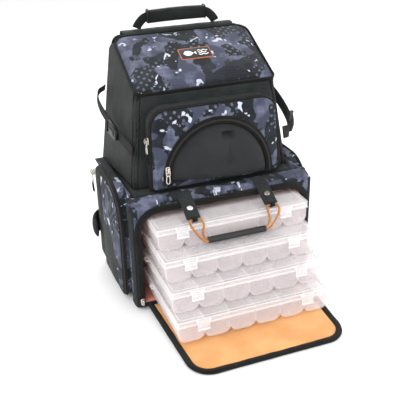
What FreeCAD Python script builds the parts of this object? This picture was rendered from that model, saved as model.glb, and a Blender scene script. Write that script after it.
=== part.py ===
import FreeCAD, Part
import math
import os

# A fishing tackle backpack standing upright with its front bay unzipped: four compartment trays are
# pulled out like a flight of steps, and the bay's flap lies folded down in front of them.
# Millimetres. +X is the right of someone facing the bag, +Y runs from the flap to the harness, +Z is up.
# The pieces are drawn with y = 0 at the lowest tray's front and moved to the bag's middle on export.

V = FreeCAD.Vector
X_AXIS = V(1, 0, 0)
Y_AXIS = V(0, 1, 0)
Z_AXIS = V(0, 0, 1)

# Trays, from the top one down
TRAY_WIDTH = 275.0
TRAY_DEPTH = 185.0
TRAY_HEIGHT = 40.0
TRAY_PITCH = 40.5
TRAY_FRONTS = [88.0, 54.0, 25.0, 0.0]
STACK_FLOOR = 15.0
COLUMNS = 6
ROWS = 4
TRAY_WALL = 1.6
CHANNEL_RADIUS = 13.0
RIM_HEIGHT = 28.5
LATCH_X = 93.0
LATCH_WIDTH = 20.0

# Lower body and its front opening
BASE_THICK = 12.0
LOWER_HALF = 166.0
BAY_HALF = 157.0
SHOULDER_Y = 161.0
LOWER_TOP = 208.0
LOWER_WALL = 4.0
FRONT_Y = 134.0
BACK_Y = 346.0
STRIP_TOP_Y = 158.0
OPENING_HALF = 151.0
OPENING_TOP = 187.0
OPENING_RADIUS = 33.0
BINDING_WIDTH = 11.0
BINDING_THICK = 4.0

# Upper body: half widths and rim points of its slanted sides
UPPER_WALL = 4.0
UPPER_FOOT = V(143, 186, LOWER_TOP)
UPPER_FRONT_RIM = V(124, 206, 362)
UPPER_BACK_RIM = V(126, 336, 428)
BACK_THICK = 18.0
BACK_HALF_LOW = 152.0
BACK_HALF_TOP = 122.0
BACK_TOP = 433.5

# Lid
LID_HALF = 126.0
LID_EDGE = 9.0
LID_CROWN = 17.0
LID_GAP = 0.6

# Front pocket, drawn upright and then leaned back
POCKET_Y = 160.0
POCKET_LOW = 210.0
POCKET_TOP = 346.0
POCKET_HALF_LOW = 117.0
POCKET_HALF_TOP = 112.0
POCKET_RADIUS = 30.0
POCKET_LEAN = 3.4
FACE_THICK = 8.0
DOME_FOOT = 222.0
DOME_HALF = 88.0
DOME_HIGH = 92.0
DOME_DEEP = 30.0
DOME_RING = 11.0
DOME_TILT = 3.5
DOME_SLIDER_X = -94.0
DOME_SLIDER_Z = 242.0

# Side pockets
SIDE_FRONT = 162.0
SIDE_SPLIT = 290.0
SIDE_BACK = 338.0
SIDE_LOW = 14.0
SIDE_TOP = 213.0
SIDE_OUT = 174.0
SIDE_COVER = 6.0
SIDE_RADIUS = 62.0

# Flap, drawn level and then tipped so that its root reaches the bay floor
FLAP_TIP = -72.0
FLAP_FOLD = -8.0
FLAP_HALF_ROOT = 146.0
FLAP_HALF_TIP = 135.0
FLAP_RADIUS = 34.0
FLAP_THICK = 5.0
FLAP_RISE = 6.0
FLAP_BINDING = 10.0

# Haul handle on top
HANDLE_Y = 355.0
HANDLE_BASE_Z = 440.2
HANDLE_HALF = 74.0
SLEEVE_HALF = 55.0
SLEEVE_LOW = 446.0
SLEEVE_TOP = 470.0

# Tray pull handle
GRIP_HALF = 52.0
GRIP_RADIUS = 5.5
GRIP_Y = 79.0
GRIP_Z = 147.0
CORD_DIAMETER = 3.5
TAB_X = 70.0
TAB_HALF = 12.0
LOOP_Y = 93.0
LOOP_Z = 182.0

# Zip pulls
PULL_LENGTH = 24.0
LID_SLIDER_Y = 226.0
SIDE_SLIDER_Y = 318.0

# Harness
STRAP_BACK = 398.19

# The middle of the bag and its flap, moved to y = 0 on export
CENTRE_Y = 163.0


def block(x0, x1, y0, y1, z0, z1):
    return Part.makeBox(x1 - x0, y1 - y0, z1 - z0, V(x0, y0, z0))


def prism(points, path):
    """The solid swept by a flat outline of points along a straight path."""
    return Part.Face(Part.makePolygon(points + points[:1])).extrude(path)


def along_x(outline, x0, x1):
    """A (y, z) outline extruded from x0 to x1."""
    return prism([V(x0, y, z) for y, z in outline], V(x1 - x0, 0, 0))


def along_y(outline, y0, y1):
    """An (x, z) outline extruded from y0 to y1."""
    return prism([V(x, y0, z) for x, z in outline], V(0, y1 - y0, 0))


def along_z(outline, z0, z1):
    """An (x, y) outline extruded from z0 to z1."""
    return prism([V(x, y, z0) for x, y in outline], V(0, 0, z1 - z0))


def hexahedron(low, high):
    """A solid between two four-cornered outlines."""
    return Part.makeLoft([Part.makePolygon(c + c[:1]) for c in (low, high)], True, True)


def turned(shape, centre, axis, angle):
    copy = shape.copy()
    copy.rotate(centre, axis, angle)
    return copy


def moved(shape, x, y, z):
    copy = shape.copy()
    copy.translate(V(x, y, z))
    return copy


def mirrored(shape):
    return shape.mirror(V(0, 0, 0), X_AXIS)


def pair(shape):
    return Part.makeCompound([shape, mirrored(shape)])


def rounded(shape, radius, axis, chosen=lambda centre: True):
    """Round the straight edges that run along an axis and whose middle is chosen."""
    edges = []
    for edge in shape.Edges:
        ends = [v.Point for v in edge.Vertexes]
        if len(ends) == 2 and isinstance(edge.Curve, (Part.Line, Part.LineSegment)):
            run = (ends[1] - ends[0]).normalize()
            if abs(run.dot(axis)) > 0.99 and chosen((ends[0] + ends[1]) / 2):
                edges.append(edge)
    return shape.makeFillet(radius, edges)


def arch(half_low, half_top, low, top, radius, y0, y1):
    """A slab whose outline is flat at the bottom and rounded at its two top corners."""
    slab = along_y([(-half_low, low), (half_low, low), (half_top, top), (-half_top, top)], y0, y1)
    return rounded(slab, radius, Y_AXIS, lambda c: c.z > (low + top) / 2)


def smooth_tube(points, diameter):
    """A tube of straight runs joined by tangent arcs, as large as the two runs at each point allow."""
    edges = []
    radii = []
    start = points[0]
    for before, here, after in zip(points, points[1:], points[2:]):
        back = before - here
        on = after - here
        turn = math.pi - back.getAngle(on)
        reach = 0.45 * min(back.Length, on.Length)
        radii.append(reach / math.tan(turn / 2))
        back.normalize()
        on.normalize()
        enter = here + back * reach
        leave = here + on * reach
        bisector = (back + on).normalize()
        centre = here + bisector * math.hypot(reach, radii[-1])
        middle = centre - bisector * radii[-1]
        edges.append(Part.makeLine(start, enter))
        edges.append(Part.Arc(enter, middle, leave).toShape())
        start = leave
    edges.append(Part.makeLine(start, points[-1]))
    path = Part.Wire(edges)
    first = (points[1] - points[0]).normalize()
    section = Part.Wire(Part.makeCircle(diameter / 2, points[0], first))
    tube = path.makePipeShell([section], True, False)
    return tube, radii, path.Length


def lid_point(x, along, height):
    """A point on the lid: along its slope from the front rim, and height above the slope."""
    slope = (V(0, UPPER_BACK_RIM.y, UPPER_BACK_RIM.z) - V(0, UPPER_FRONT_RIM.y, UPPER_FRONT_RIM.z)).normalize()
    up = X_AXIS.cross(slope)
    return V(x, UPPER_FRONT_RIM.y, UPPER_FRONT_RIM.z) + slope * along + up * height


LID_LENGTH = (V(0, UPPER_BACK_RIM.y, UPPER_BACK_RIM.z) - V(0, UPPER_FRONT_RIM.y, UPPER_FRONT_RIM.z)).Length


def side_x(y, z):
    """The half width of the upper body at a height and depth, on the plane of its side."""
    a = UPPER_FRONT_RIM - UPPER_FOOT
    b = UPPER_BACK_RIM - UPPER_FOOT
    normal = a.cross(b)
    return UPPER_FOOT.x - (normal.y * (y - UPPER_FOOT.y) + normal.z * (z - UPPER_FOOT.z)) / normal.x


def rim_z(y):
    """The height of the upper body's slanted rim."""
    rise = (UPPER_BACK_RIM.z - UPPER_FRONT_RIM.z) / (UPPER_BACK_RIM.y - UPPER_FRONT_RIM.y)
    return UPPER_FRONT_RIM.z + rise * (y - UPPER_FRONT_RIM.y)


def lower_body():
    """The base, side walls, framed opening, orange bay and the padded floor above it."""
    parts = {}
    base = block(-LOWER_HALF, LOWER_HALF, FRONT_Y, SHOULDER_Y, 0, BASE_THICK)
    rear = block(-BAY_HALF, BAY_HALF, SHOULDER_Y, BACK_Y, 0, BASE_THICK)
    parts["bottom_panel"] = base.fuse(rear).removeSplitter()
    inner_y = FRONT_Y + LOWER_WALL
    bend_z = OPENING_TOP + BINDING_WIDTH
    near = LOWER_HALF - LOWER_WALL
    plan = [(near, inner_y), (LOWER_HALF, inner_y), (LOWER_HALF, SHOULDER_Y), (BAY_HALF, SHOULDER_Y),
            (BAY_HALF, BACK_Y), (BAY_HALF - 3.5, BACK_Y), (BAY_HALF - 3.5, SHOULDER_Y - 3.5),
            (near, SHOULDER_Y - 3.5)]
    behind_frame = along_x([(inner_y, 0), (BACK_Y, 0), (BACK_Y, LOWER_TOP), (STRIP_TOP_Y + 2, LOWER_TOP),
                            (inner_y, bend_z - 2)], 0, LOWER_HALF)
    wall = along_z(plan, BASE_THICK, LOWER_TOP).common(behind_frame)
    parts["lower_sides"] = pair(wall)
    frame = along_x([(FRONT_Y, BASE_THICK), (inner_y, BASE_THICK), (inner_y, bend_z - 2),
                     (STRIP_TOP_Y + 2, LOWER_TOP), (STRIP_TOP_Y - 4, LOWER_TOP), (FRONT_Y, bend_z)],
                    -LOWER_HALF, LOWER_HALF)
    hole = arch(OPENING_HALF, OPENING_HALF, 0, OPENING_TOP, OPENING_RADIUS, FRONT_Y - 20, FRONT_Y + 40)
    parts["front_frame"] = frame.cut(hole)
    rim = arch(OPENING_HALF + BINDING_WIDTH, OPENING_HALF + BINDING_WIDTH, BASE_THICK,
               OPENING_TOP + BINDING_WIDTH, OPENING_RADIUS + BINDING_WIDTH, FRONT_Y - BINDING_THICK, FRONT_Y)
    parts["opening_binding"] = rim.cut(hole)
    lining_half = OPENING_HALF + 1.5
    liner = block(-lining_half, lining_half, inner_y, BACK_Y - 3, BASE_THICK, OPENING_TOP + 3)
    inside = block(-lining_half + 2, lining_half - 2, inner_y - 1, BACK_Y - 5, BASE_THICK + 1.5, OPENING_TOP + 1)
    parts["bay_lining"] = liner.cut(inside)
    floor_half = BAY_HALF - 3.5
    parts["bay_ceiling"] = block(-floor_half, floor_half, STRIP_TOP_Y + 4, BACK_Y, OPENING_TOP + 5, LOWER_TOP)
    return parts


def upper_body():
    """The three-sided upper shell, the padded back, and the band along the top that the lid hangs on."""
    parts = {}
    rise = UPPER_FRONT_RIM.z - UPPER_FOOT.z
    lean = (UPPER_FRONT_RIM.y - UPPER_FOOT.y) / rise

    def corners(z, inset, beyond):
        front = UPPER_FOOT.y + lean * (z - UPPER_FOOT.z) + inset
        half_front = side_x(front, z) - inset
        half_back = side_x(BACK_Y, z) - inset
        return [V(-half_front, front, z), V(half_front, front, z),
                V(half_back, BACK_Y + beyond, z), V(-half_back, BACK_Y + beyond, z)]

    high = rim_z(BACK_Y) + 1
    outer = hexahedron(corners(LOWER_TOP, 0, 0), corners(high, 0, 0))
    inner = hexahedron(corners(LOWER_TOP - 1, UPPER_WALL, 1), corners(high + 1, UPPER_WALL, 1))
    lid_side = prism([lid_point(-300, -200, 0), lid_point(-300, 400, 0),
                      lid_point(-300, 400, 300), lid_point(-300, -200, 300)], V(600, 0, 0))
    parts["upper_shell"] = outer.cut(inner).cut(lid_side)
    back = along_y([(-BACK_HALF_LOW, 0), (BACK_HALF_LOW, 0), (BACK_HALF_LOW, LOWER_TOP),
                    (BACK_HALF_TOP, BACK_TOP), (-BACK_HALF_TOP, BACK_TOP), (-BACK_HALF_LOW, LOWER_TOP)],
                   BACK_Y, BACK_Y + BACK_THICK)
    parts["back_panel"] = rounded(back, 12, Y_AXIS, lambda c: c.z > BACK_TOP - 1)
    band_y = UPPER_BACK_RIM.y + 2
    band = [(band_y, rim_z(band_y) + 0.6), (BACK_Y, BACK_TOP), (BACK_Y + BACK_THICK, BACK_TOP),
            (BACK_Y + BACK_THICK, BACK_TOP + 5), (band_y, BACK_TOP + 4.5)]
    parts["top_band"] = along_x(band, -104, 104)
    return parts


def lid():
    """The padded lid, crowned along its slope, with a stitched blank badge."""
    parts = {}
    profile = [(0, LID_GAP), (LID_LENGTH, LID_GAP), (LID_LENGTH, LID_EDGE), (LID_LENGTH * 0.72, LID_CROWN),
               (LID_LENGTH * 0.28, LID_CROWN), (0, LID_EDGE)]
    slab = prism([lid_point(-LID_HALF, along, height) for along, height in profile], V(2 * LID_HALF, 0, 0))
    parts["lid"] = slab
    low = LID_LENGTH * 0.38
    badge = [(low, LID_CROWN), (low + 28, LID_CROWN), (low + 28, LID_CROWN + 1.5), (low, LID_CROWN + 1.5)]
    parts["lid_badge"] = prism([lid_point(-29, along, height) for along, height in badge], V(58, 0, 0))
    return parts


def front_pocket(shell_front):
    """The front pocket: a gusset on the shell, a panel that folds down, and a moulded dome on the panel."""
    parts = {}
    foot = V(0, POCKET_Y, POCKET_LOW)

    def leaned(shape):
        return turned(shape, foot, X_AXIS, -POCKET_LEAN)

    def outline(inset, y0, y1):
        return arch(POCKET_HALF_LOW - inset, POCKET_HALF_TOP - inset, POCKET_LOW + inset, POCKET_TOP - inset,
                    POCKET_RADIUS - inset, y0, y1)

    face_back = POCKET_Y + FACE_THICK
    gusset = outline(0, face_back + 0.6, face_back + 60).cut(outline(5, face_back, face_back + 61))
    below = block(-LOWER_HALF, LOWER_HALF, FRONT_Y, BACK_Y, 0, LOWER_TOP)
    parts["pocket_gusset"] = leaned(gusset).cut(shell_front).cut(below)
    parts["pocket_face"] = leaned(outline(0, POCKET_Y, face_back))
    front = V(0, POCKET_Y, DOME_FOOT)

    def half_dome(half, deep, high):
        ball = Part.makeSphere(1, front)
        stretch = FreeCAD.Matrix()
        stretch.move(-front)
        stretch.scale(half, deep, high)
        stretch.move(front)
        ball = ball.transformGeometry(stretch)
        keep = block(-200, 200, POCKET_Y - 100, POCKET_Y - 0.6, DOME_FOOT + 0.6, DOME_FOOT + 200)
        return ball.common(keep)

    def tilted(shape):
        return leaned(turned(shape, front, Y_AXIS, DOME_TILT))

    shell = half_dome(DOME_HALF, DOME_DEEP, DOME_HIGH)
    hollow = half_dome(DOME_HALF - 4, DOME_DEEP - 4, DOME_HIGH - 4)
    parts["dome_cover"] = tilted(shell.cut(moved(hollow, 0, 0.01, 0)))

    def disc(half, high, y0, y1):
        oval = Part.makeCylinder(1, y1 - y0, V(0, y0, DOME_FOOT), Y_AXIS)
        stretch = FreeCAD.Matrix()
        stretch.move(V(0, 0, -DOME_FOOT))
        stretch.scale(half, 1, high)
        stretch.move(V(0, 0, DOME_FOOT))
        return oval.transformGeometry(stretch)

    ring = disc(DOME_HALF + DOME_RING, DOME_HIGH + DOME_RING, POCKET_Y - 6, POCKET_Y)
    ring = ring.cut(disc(DOME_HALF + 0.5, DOME_HIGH + 0.5, POCKET_Y - 7, POCKET_Y + 1))
    keep = block(-200, 200, POCKET_Y - 50, POCKET_Y + 50, DOME_FOOT, DOME_FOOT + 200)
    dome_slider = moved(slider(), DOME_SLIDER_X, POCKET_Y - 6, DOME_SLIDER_Z)
    parts["dome_zip"] = tilted(Part.makeCompound([ring.common(keep), dome_slider]))
    parts["dome_pull"] = tilted(moved(pull_link(), DOME_SLIDER_X, POCKET_Y - 6, DOME_SLIDER_Z))
    return parts


def side_profile(inset, y_end, x0, x1):
    """The side pocket seen from the side: a box whose upper front corner is swept back in a long curve."""
    outline = [(SIDE_FRONT + inset, SIDE_LOW + inset), (y_end, SIDE_LOW + inset), (y_end, SIDE_TOP - inset),
               (SIDE_FRONT + inset, SIDE_TOP - inset)]
    slab = along_x(outline, x0, x1)
    front = SIDE_FRONT + 20
    slab = rounded(slab, SIDE_RADIUS - inset, X_AXIS, lambda c: c.y < front and c.z > 100)
    return rounded(slab, 20 - inset, X_AXIS, lambda c: c.y < front and c.z < 100)


def side_pocket():
    """The right side pocket: a gusseted box on the lower wall with a zipped cover over most of its side."""
    parts = {}
    wall = BAY_HALF
    box = side_profile(0, SIDE_BACK, wall, SIDE_OUT)
    rear = block(wall, SIDE_OUT + SIDE_COVER, SIDE_SPLIT + 0.6, SIDE_BACK, SIDE_LOW, SIDE_TOP - 8)
    rear = rounded(rear, 5, Z_AXIS, lambda c: c.x > SIDE_OUT)
    hollow = side_profile(3, SIDE_SPLIT - 3, wall + 1.5, SIDE_OUT + 1)
    neck = block(wall, LOWER_HALF + 1, 0, SHOULDER_Y, 0, 300)
    parts["side_pocket"] = box.fuse(rear).cut(hollow).cut(neck).removeSplitter()
    parts["side_cover"] = side_profile(0, SIDE_SPLIT, SIDE_OUT + 0.6, SIDE_OUT + SIDE_COVER)
    return parts


def flap_outline(inset, y0, y1, z0, z1):
    """The flap's plan: tapered, with rounded corners at its free end."""
    def half(y):
        share = (y - FLAP_TIP) / (FRONT_Y - FLAP_TIP)
        return FLAP_HALF_TIP + (FLAP_HALF_ROOT - FLAP_HALF_TIP) * share - inset

    tip = FLAP_TIP + inset
    plan = along_z([(-half(tip), tip), (half(tip), tip), (half(FRONT_Y), FRONT_Y), (-half(FRONT_Y), FRONT_Y)],
                   z0, z1)
    plan = rounded(plan, FLAP_RADIUS - inset, Z_AXIS, lambda c: c.y < 0)
    return plan.common(block(-300, 300, y0, y1, z0 - 1, z1 + 1))


def flap():
    """The bay's flap in two lengths, the free one folding up, edged with a thick binding."""
    parts = {}
    tip = V(0, FLAP_TIP, 0)
    tilt = math.degrees(math.asin(FLAP_RISE / (FRONT_Y - FLAP_TIP)))

    def tipped(shape):
        return turned(shape, tip, X_AXIS, tilt)

    def length(y0, y1):
        panel = flap_outline(FLAP_BINDING, y0, y1, 0.5, FLAP_THICK)
        edge = flap_outline(0, y0, y1, 0, FLAP_THICK + 1.5)
        return panel, edge.cut(flap_outline(FLAP_BINDING, y0 - 1, y1 + 1, -5, 20))

    root, root_edge = length(FLAP_FOLD + 0.4, FRONT_Y - 0.5)
    end, end_edge = length(FLAP_TIP, FLAP_FOLD - 0.4)
    parts["flap_root"] = tipped(Part.makeCompound([root, root_edge]))
    parts["flap_end"] = tipped(end)
    parts["flap_end_binding"] = tipped(end_edge)
    return parts


def haul_handle():
    """A carry loop of flat webbing, thin from front to back, with a padded sleeve round its top run."""
    parts = {}
    middle = (SLEEVE_LOW + SLEEVE_TOP) / 2
    leg = [(HANDLE_HALF - 8, HANDLE_BASE_Z), (HANDLE_HALF + 8, HANDLE_BASE_Z), (HANDLE_HALF - 2, middle + 8),
           (SLEEVE_HALF - 12, middle + 8), (SLEEVE_HALF - 12, middle - 8), (HANDLE_HALF - 14, middle - 8)]
    leg = along_y(leg, HANDLE_Y - 2, HANDLE_Y + 2)
    sleeve = block(-SLEEVE_HALF, SLEEVE_HALF, HANDLE_Y - 10, HANDLE_Y + 10, SLEEVE_LOW, SLEEVE_TOP)
    sleeve = rounded(sleeve, 7, X_AXIS)
    parts["haul_sleeve"] = sleeve
    parts["haul_strap"] = pair(leg.cut(sleeve))
    return parts


def tray_base():
    """One moulded tray: six round-bottomed channels between end walls, with a flange below its rim."""
    half = TRAY_WIDTH / 2 - 2.8
    pitch = 2 * half / COLUMNS
    front = 2.0
    back = TRAY_DEPTH - 2.0
    rim = TRAY_HEIGHT - 2.5
    outer = []
    inner = []
    for column in range(COLUMNS):
        left = -half + column * pitch
        hull = block(left - 0.05, left + pitch + 0.05, front, back, 0, rim)
        outer.append(rounded(hull, CHANNEL_RADIUS, Y_AXIS, lambda c: c.z < 1))
        wall = TRAY_WALL / 2
        space = block(left + wall, left + pitch - wall, front + TRAY_WALL, back - TRAY_WALL, 1.4, rim + 5)
        inner.append(rounded(space, CHANNEL_RADIUS - 1, Y_AXIS, lambda c: c.z < 2))
    flange = block(-half - 2.3, half + 2.3, front - 1.4, back + 1.4, RIM_HEIGHT, RIM_HEIGHT + 1.8)
    flange = flange.cut(block(-half + 0.5, half - 0.5, front + 0.5, back - 0.5, 0, 50))
    return outer[0].multiFuse(outer[1:] + [flange]).cut(Part.makeCompound(inner)).removeSplitter()


def tray_lid():
    """A tray's lid: a panel with a raised border, a skirt, lugs for its latches and a hang tab."""
    half = TRAY_WIDTH / 2
    skirt_low = RIM_HEIGHT + 2.5
    panel_low = TRAY_HEIGHT - 2.2
    cover = rounded(block(-half, half, 0, TRAY_DEPTH, skirt_low, TRAY_HEIGHT), 4, Z_AXIS)
    inside = block(-half + 1.5, half - 1.5, 1.5, TRAY_DEPTH - 1.5, 0, panel_low)
    cover = cover.cut(rounded(inside, 2.5, Z_AXIS))
    recess = block(-half + 7, half - 7, 7, TRAY_DEPTH - 7, TRAY_HEIGHT - 0.8, TRAY_HEIGHT + 1)
    cover = cover.cut(rounded(recess, 4, Z_AXIS))
    for x in (-LATCH_X, LATCH_X):
        for side in (-1, 1):
            near = x + side * (LATCH_WIDTH / 2 + 0.4)
            lug = block(min(near, near + side * 1.6), max(near, near + side * 1.6), -3.4, 0.5, 34.6, 39.8)
            pin_hole = Part.makeCylinder(0.88, 4, V(near - side, -1.9, 37.6), V(side, 0, 0))
            cover = cover.fuse(lug).cut(pin_hole)
    tab = block(-half - 6, -half + 1, 112, 128, panel_low, TRAY_HEIGHT - 0.4)
    tab = rounded(tab, 4, Z_AXIS, lambda c: c.x < -half)
    tab = tab.cut(block(-half - 3.8, -half - 1, 115, 125, 0, 50))
    return cover.fuse(tab).removeSplitter()


def tray_dividers():
    """The loose cross walls that split each channel of a tray into cells."""
    half = TRAY_WIDTH / 2 - 2.8
    pitch = 2 * half / COLUMNS
    walls = []
    for column in range(COLUMNS):
        left = -half + column * pitch
        for row in range(1, ROWS):
            y = 3.6 + (TRAY_DEPTH - 7.2) * row / ROWS
            wall = block(left + 1.2, left + pitch - 1.2, y - 0.7, y + 0.7, 1.4, TRAY_HEIGHT - 3.5)
            walls.append(rounded(wall, CHANNEL_RADIUS - 1.2, Y_AXIS, lambda c: c.z < 2))
    return Part.makeCompound(walls)


def tray_latches():
    """The two hooked latches on a tray's front, each with its own short pins."""
    latches = []
    for x in (-LATCH_X, LATCH_X):
        half = LATCH_WIDTH / 2
        plate = block(x - half, x + half, -3.4, -1.9, 20, 37.6)
        barrel = Part.makeCylinder(1.5, LATCH_WIDTH, V(x - half, -1.9, 37.6), X_AXIS)
        pin = Part.makeCylinder(0.8, LATCH_WIDTH + 3, V(x - half - 1.5, -1.9, 37.6), X_AXIS)
        hook = block(x - half + 2, x + half - 2, -2.5, 1.6, RIM_HEIGHT - 2.3, RIM_HEIGHT - 0.3)
        lip = block(x - half, x + half, -4.6, -3, 20, 22)
        latches.append(plate.multiFuse([barrel, pin, hook, lip]).removeSplitter())
    return Part.makeCompound(latches)


def trays():
    """Four trays in the bay, each at its own place on the flight of steps."""
    parts = {}
    shapes = {"base": tray_base(), "lid": tray_lid(), "dividers": tray_dividers(), "latches": tray_latches()}
    for number, front in enumerate(TRAY_FRONTS, 1):
        floor = STACK_FLOOR + TRAY_PITCH * (len(TRAY_FRONTS) - number)
        for name, shape in shapes.items():
            parts["tray%d_%s" % (number, name)] = moved(shape, 0, front, floor)
    return parts


# The left pull cord: out of the grip's end, up its inner strand, through the tab's loop and back down
PULL_CORD = [
    V(-52, 80.9, 148.2),
    V(-60, 81.0, 152),
    V(-60.5, 81.0, 164),
    V(-57.5, 80.8, 176),
    V(-58.5, 93, 182),
    V(-80, 93, 182),
    V(-79.5, 80.8, 176),
    V(-72, 78.6, 163),
    V(-63.5, 77.3, 151),
    V(-58, 77.0, 146.8),
    V(-52, 77.0, 146.2),
]


def pull_handle():
    """The handle that draws the trays out: two snapped tabs, a cord through each and a tube between."""
    parts = {}
    strip = [(150, 206.2), (133.9, 198.2), (129.5, 198.1), (101, 182.6), (99.6, 185.2), (128.5, 201.3), (149, 210)]
    neck = [(103, 183.6), (LOOP_Y + 2, LOOP_Z - 3.5), (LOOP_Y + 2, LOOP_Z + 3.5), (101, 186)]
    tab = along_x(strip, TAB_X - TAB_HALF, TAB_X + TAB_HALF)
    ring = Part.makeCylinder(4.5, 9, V(TAB_X - 4.5, LOOP_Y, LOOP_Z), X_AXIS)
    bore = Part.makeCylinder(2.6, 40, V(TAB_X - 20, LOOP_Y, LOOP_Z), X_AXIS)
    tab = tab.multiFuse([along_x(neck, TAB_X - 4.5, TAB_X + 4.5), ring]).cut(bore).removeSplitter()
    parts["handle_tabs"] = pair(tab)
    seat = V(TAB_X, 114, 193.3)
    up = V(0, -0.481, 0.877)
    cap = Part.makeCylinder(5.6, 1.0, seat, up).fuse(Part.makeCone(5.6, 3.2, 1.5, seat + up, up))
    parts["tab_snaps"] = pair(cap)
    tube, radii, length = smooth_tube(PULL_CORD, CORD_DIAMETER)
    print("pull cord radii mm", [round(r, 1) for r in radii], "length mm", round(length, 1),
          "volume over section times length", round(tube.Volume / (math.pi * CORD_DIAMETER**2 / 4 * length), 4))
    parts["pull_cord_left"] = tube
    parts["pull_cord_right"] = mirrored(tube)
    grip = Part.makeCylinder(GRIP_RADIUS, 2 * GRIP_HALF, V(-GRIP_HALF, GRIP_Y, GRIP_Z), X_AXIS)
    parts["grip_tube"] = grip.cut(Part.makeCompound([tube, mirrored(tube)]))
    return parts


def ribbon(points, width, thick):
    """A flat strap through the points, with constant width and thickness vectors."""
    pieces = []
    for a, b in zip(points, points[1:]):
        ends = [[p - width / 2 - thick / 2, p + width / 2 - thick / 2, p + width / 2 + thick / 2,
                 p - width / 2 + thick / 2] for p in (a, b)]
        pieces.append(hexahedron(ends[0], ends[1]))
    return pieces[0].multiFuse(pieces[1:]).removeSplitter() if len(pieces) > 1 else pieces[0]


def harness():
    """Shoulder straps with their lower webbing and ladder locks, sternum strap, lumbar pad and hip wings."""
    parts = {}
    back = BACK_Y + BACK_THICK
    outline = [(back, 424), (back, 402), (back + 18, 310), (back + 14, 220), (back + 3, 150), (back + 14, 146),
               (STRAP_BACK - 4, 215), (STRAP_BACK, 310), (back + 13, 424)]
    strap = along_x(outline, 42, 106)
    parts["shoulder_straps"] = pair(strap)
    webbing = ribbon([V(80, back + 7, 145.5), V(80.5, back + 8.4, 128), V(81, back + 8.8, 109.5),
                      V(92, back + 14.2, 99), V(126, back + 14.2, 36), V(126, back + 1.2, 24),
                      V(126, back + 1.2, 14)], V(22, 0, 0), V(0, 2, 0))
    parts["strap_webbing"] = pair(webbing)
    lock = block(66, 96, back + 4.5, back + 13.5, 110.5, 127.5)
    slot = block(69, 93, back + 3, back + 11, 100, 140)
    lock = lock.cut(slot).cut(block(69, 93, back + 3, back + 15, 113, 117))
    lock = lock.cut(block(69, 93, back + 3, back + 15, 121, 125))
    chest = block(-41.8, 41.8, STRAP_BACK - 10, STRAP_BACK - 8, 318, 338)
    clip = rounded(block(-20, 20, STRAP_BACK - 14, STRAP_BACK - 4, 315, 341), 5, Y_AXIS)
    parts["sternum_strap"] = chest.cut(clip)
    parts["harness_buckles"] = Part.makeCompound([lock, mirrored(lock), clip])
    parts["lumbar_pad"] = rounded(block(-148, 148, back, back + 12, 40, 98), 20, Y_AXIS)
    side = SIDE_OUT + SIDE_COVER
    wing = [(BACK_HALF_LOW + 0.6, back - 12), (side - 8, back - 12), (side + 2, 341), (side + 2.5, 305),
            (side + 8, 303), (side + 13, 310), (side + 11, 345), (side - 3, back - 1), (BACK_HALF_LOW + 0.6, back - 1)]
    wing = along_z(wing, 45, 108)
    parts["hip_wing_right"] = wing
    parts["hip_wing_left"] = mirrored(wing)
    return parts


def compression_straps():
    """A slack webbing strap across each upper side, from the back seam to the front edge, with its buckle."""
    parts = {}
    left = [V(-142, 347, 343), V(-157, 341, 335), V(-160, 322, 318), V(-153, 281, 298), V(-147.5, 238, 286),
            V(-138.5, 197, 273)]
    right = [V(142, 347, 343), V(160, 338, 326), V(173, 296, 304), V(175, 246, 278), V(162, 212, 263),
             V(140, 194, 266)]
    width = V(0, 10, -22)
    parts["compression_straps"] = Part.makeCompound([ribbon(p, width, V(2, 0, 0)) for p in (left, right)])
    clips = []
    for points, out in ((left, -1), (right, 1)):
        a, b = points[3], points[4]
        run = (b - a).normalize()
        middle = (a + b) / 2 + V(out * 1.2, 0, 0)
        side = width.normalize() * 13
        thick = V(out * 7, 0, 0)
        ends = [[p - side, p + side, p + side + thick, p - side + thick]
                for p in (middle - run * 19, middle + run * 19)]
        clips.append(hexahedron(ends[0], ends[1]))
    parts["compression_buckles"] = Part.makeCompound(clips)
    return parts


def slider():
    """A zip slider lying on y = 0 facing -Y: a body, a bridge over it and room under the bridge."""
    body = rounded(block(-4.5, 4.5, -4, 0, -7, 7), 2, Y_AXIS)
    bridge = block(-1.5, 1.5, -8.9, -4, -5, 5).cut(block(-2, 2, -7.5, -3.9, -3.5, 3.5))
    return body.fuse(bridge).removeSplitter()


def pull_link():
    """A racetrack pull whose top bar lies in the slider's bridge, turning about y = -5.6, z = 1.85."""
    outer = rounded(block(-4, 4, -6.3, -4.9, -PULL_LENGTH, 2.8), 3.5, Y_AXIS)
    inner = rounded(block(-2.1, 2.1, -7, -4, -PULL_LENGTH + 2.2, 0.9), 1.9, Y_AXIS)
    return outer.cut(inner)


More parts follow.
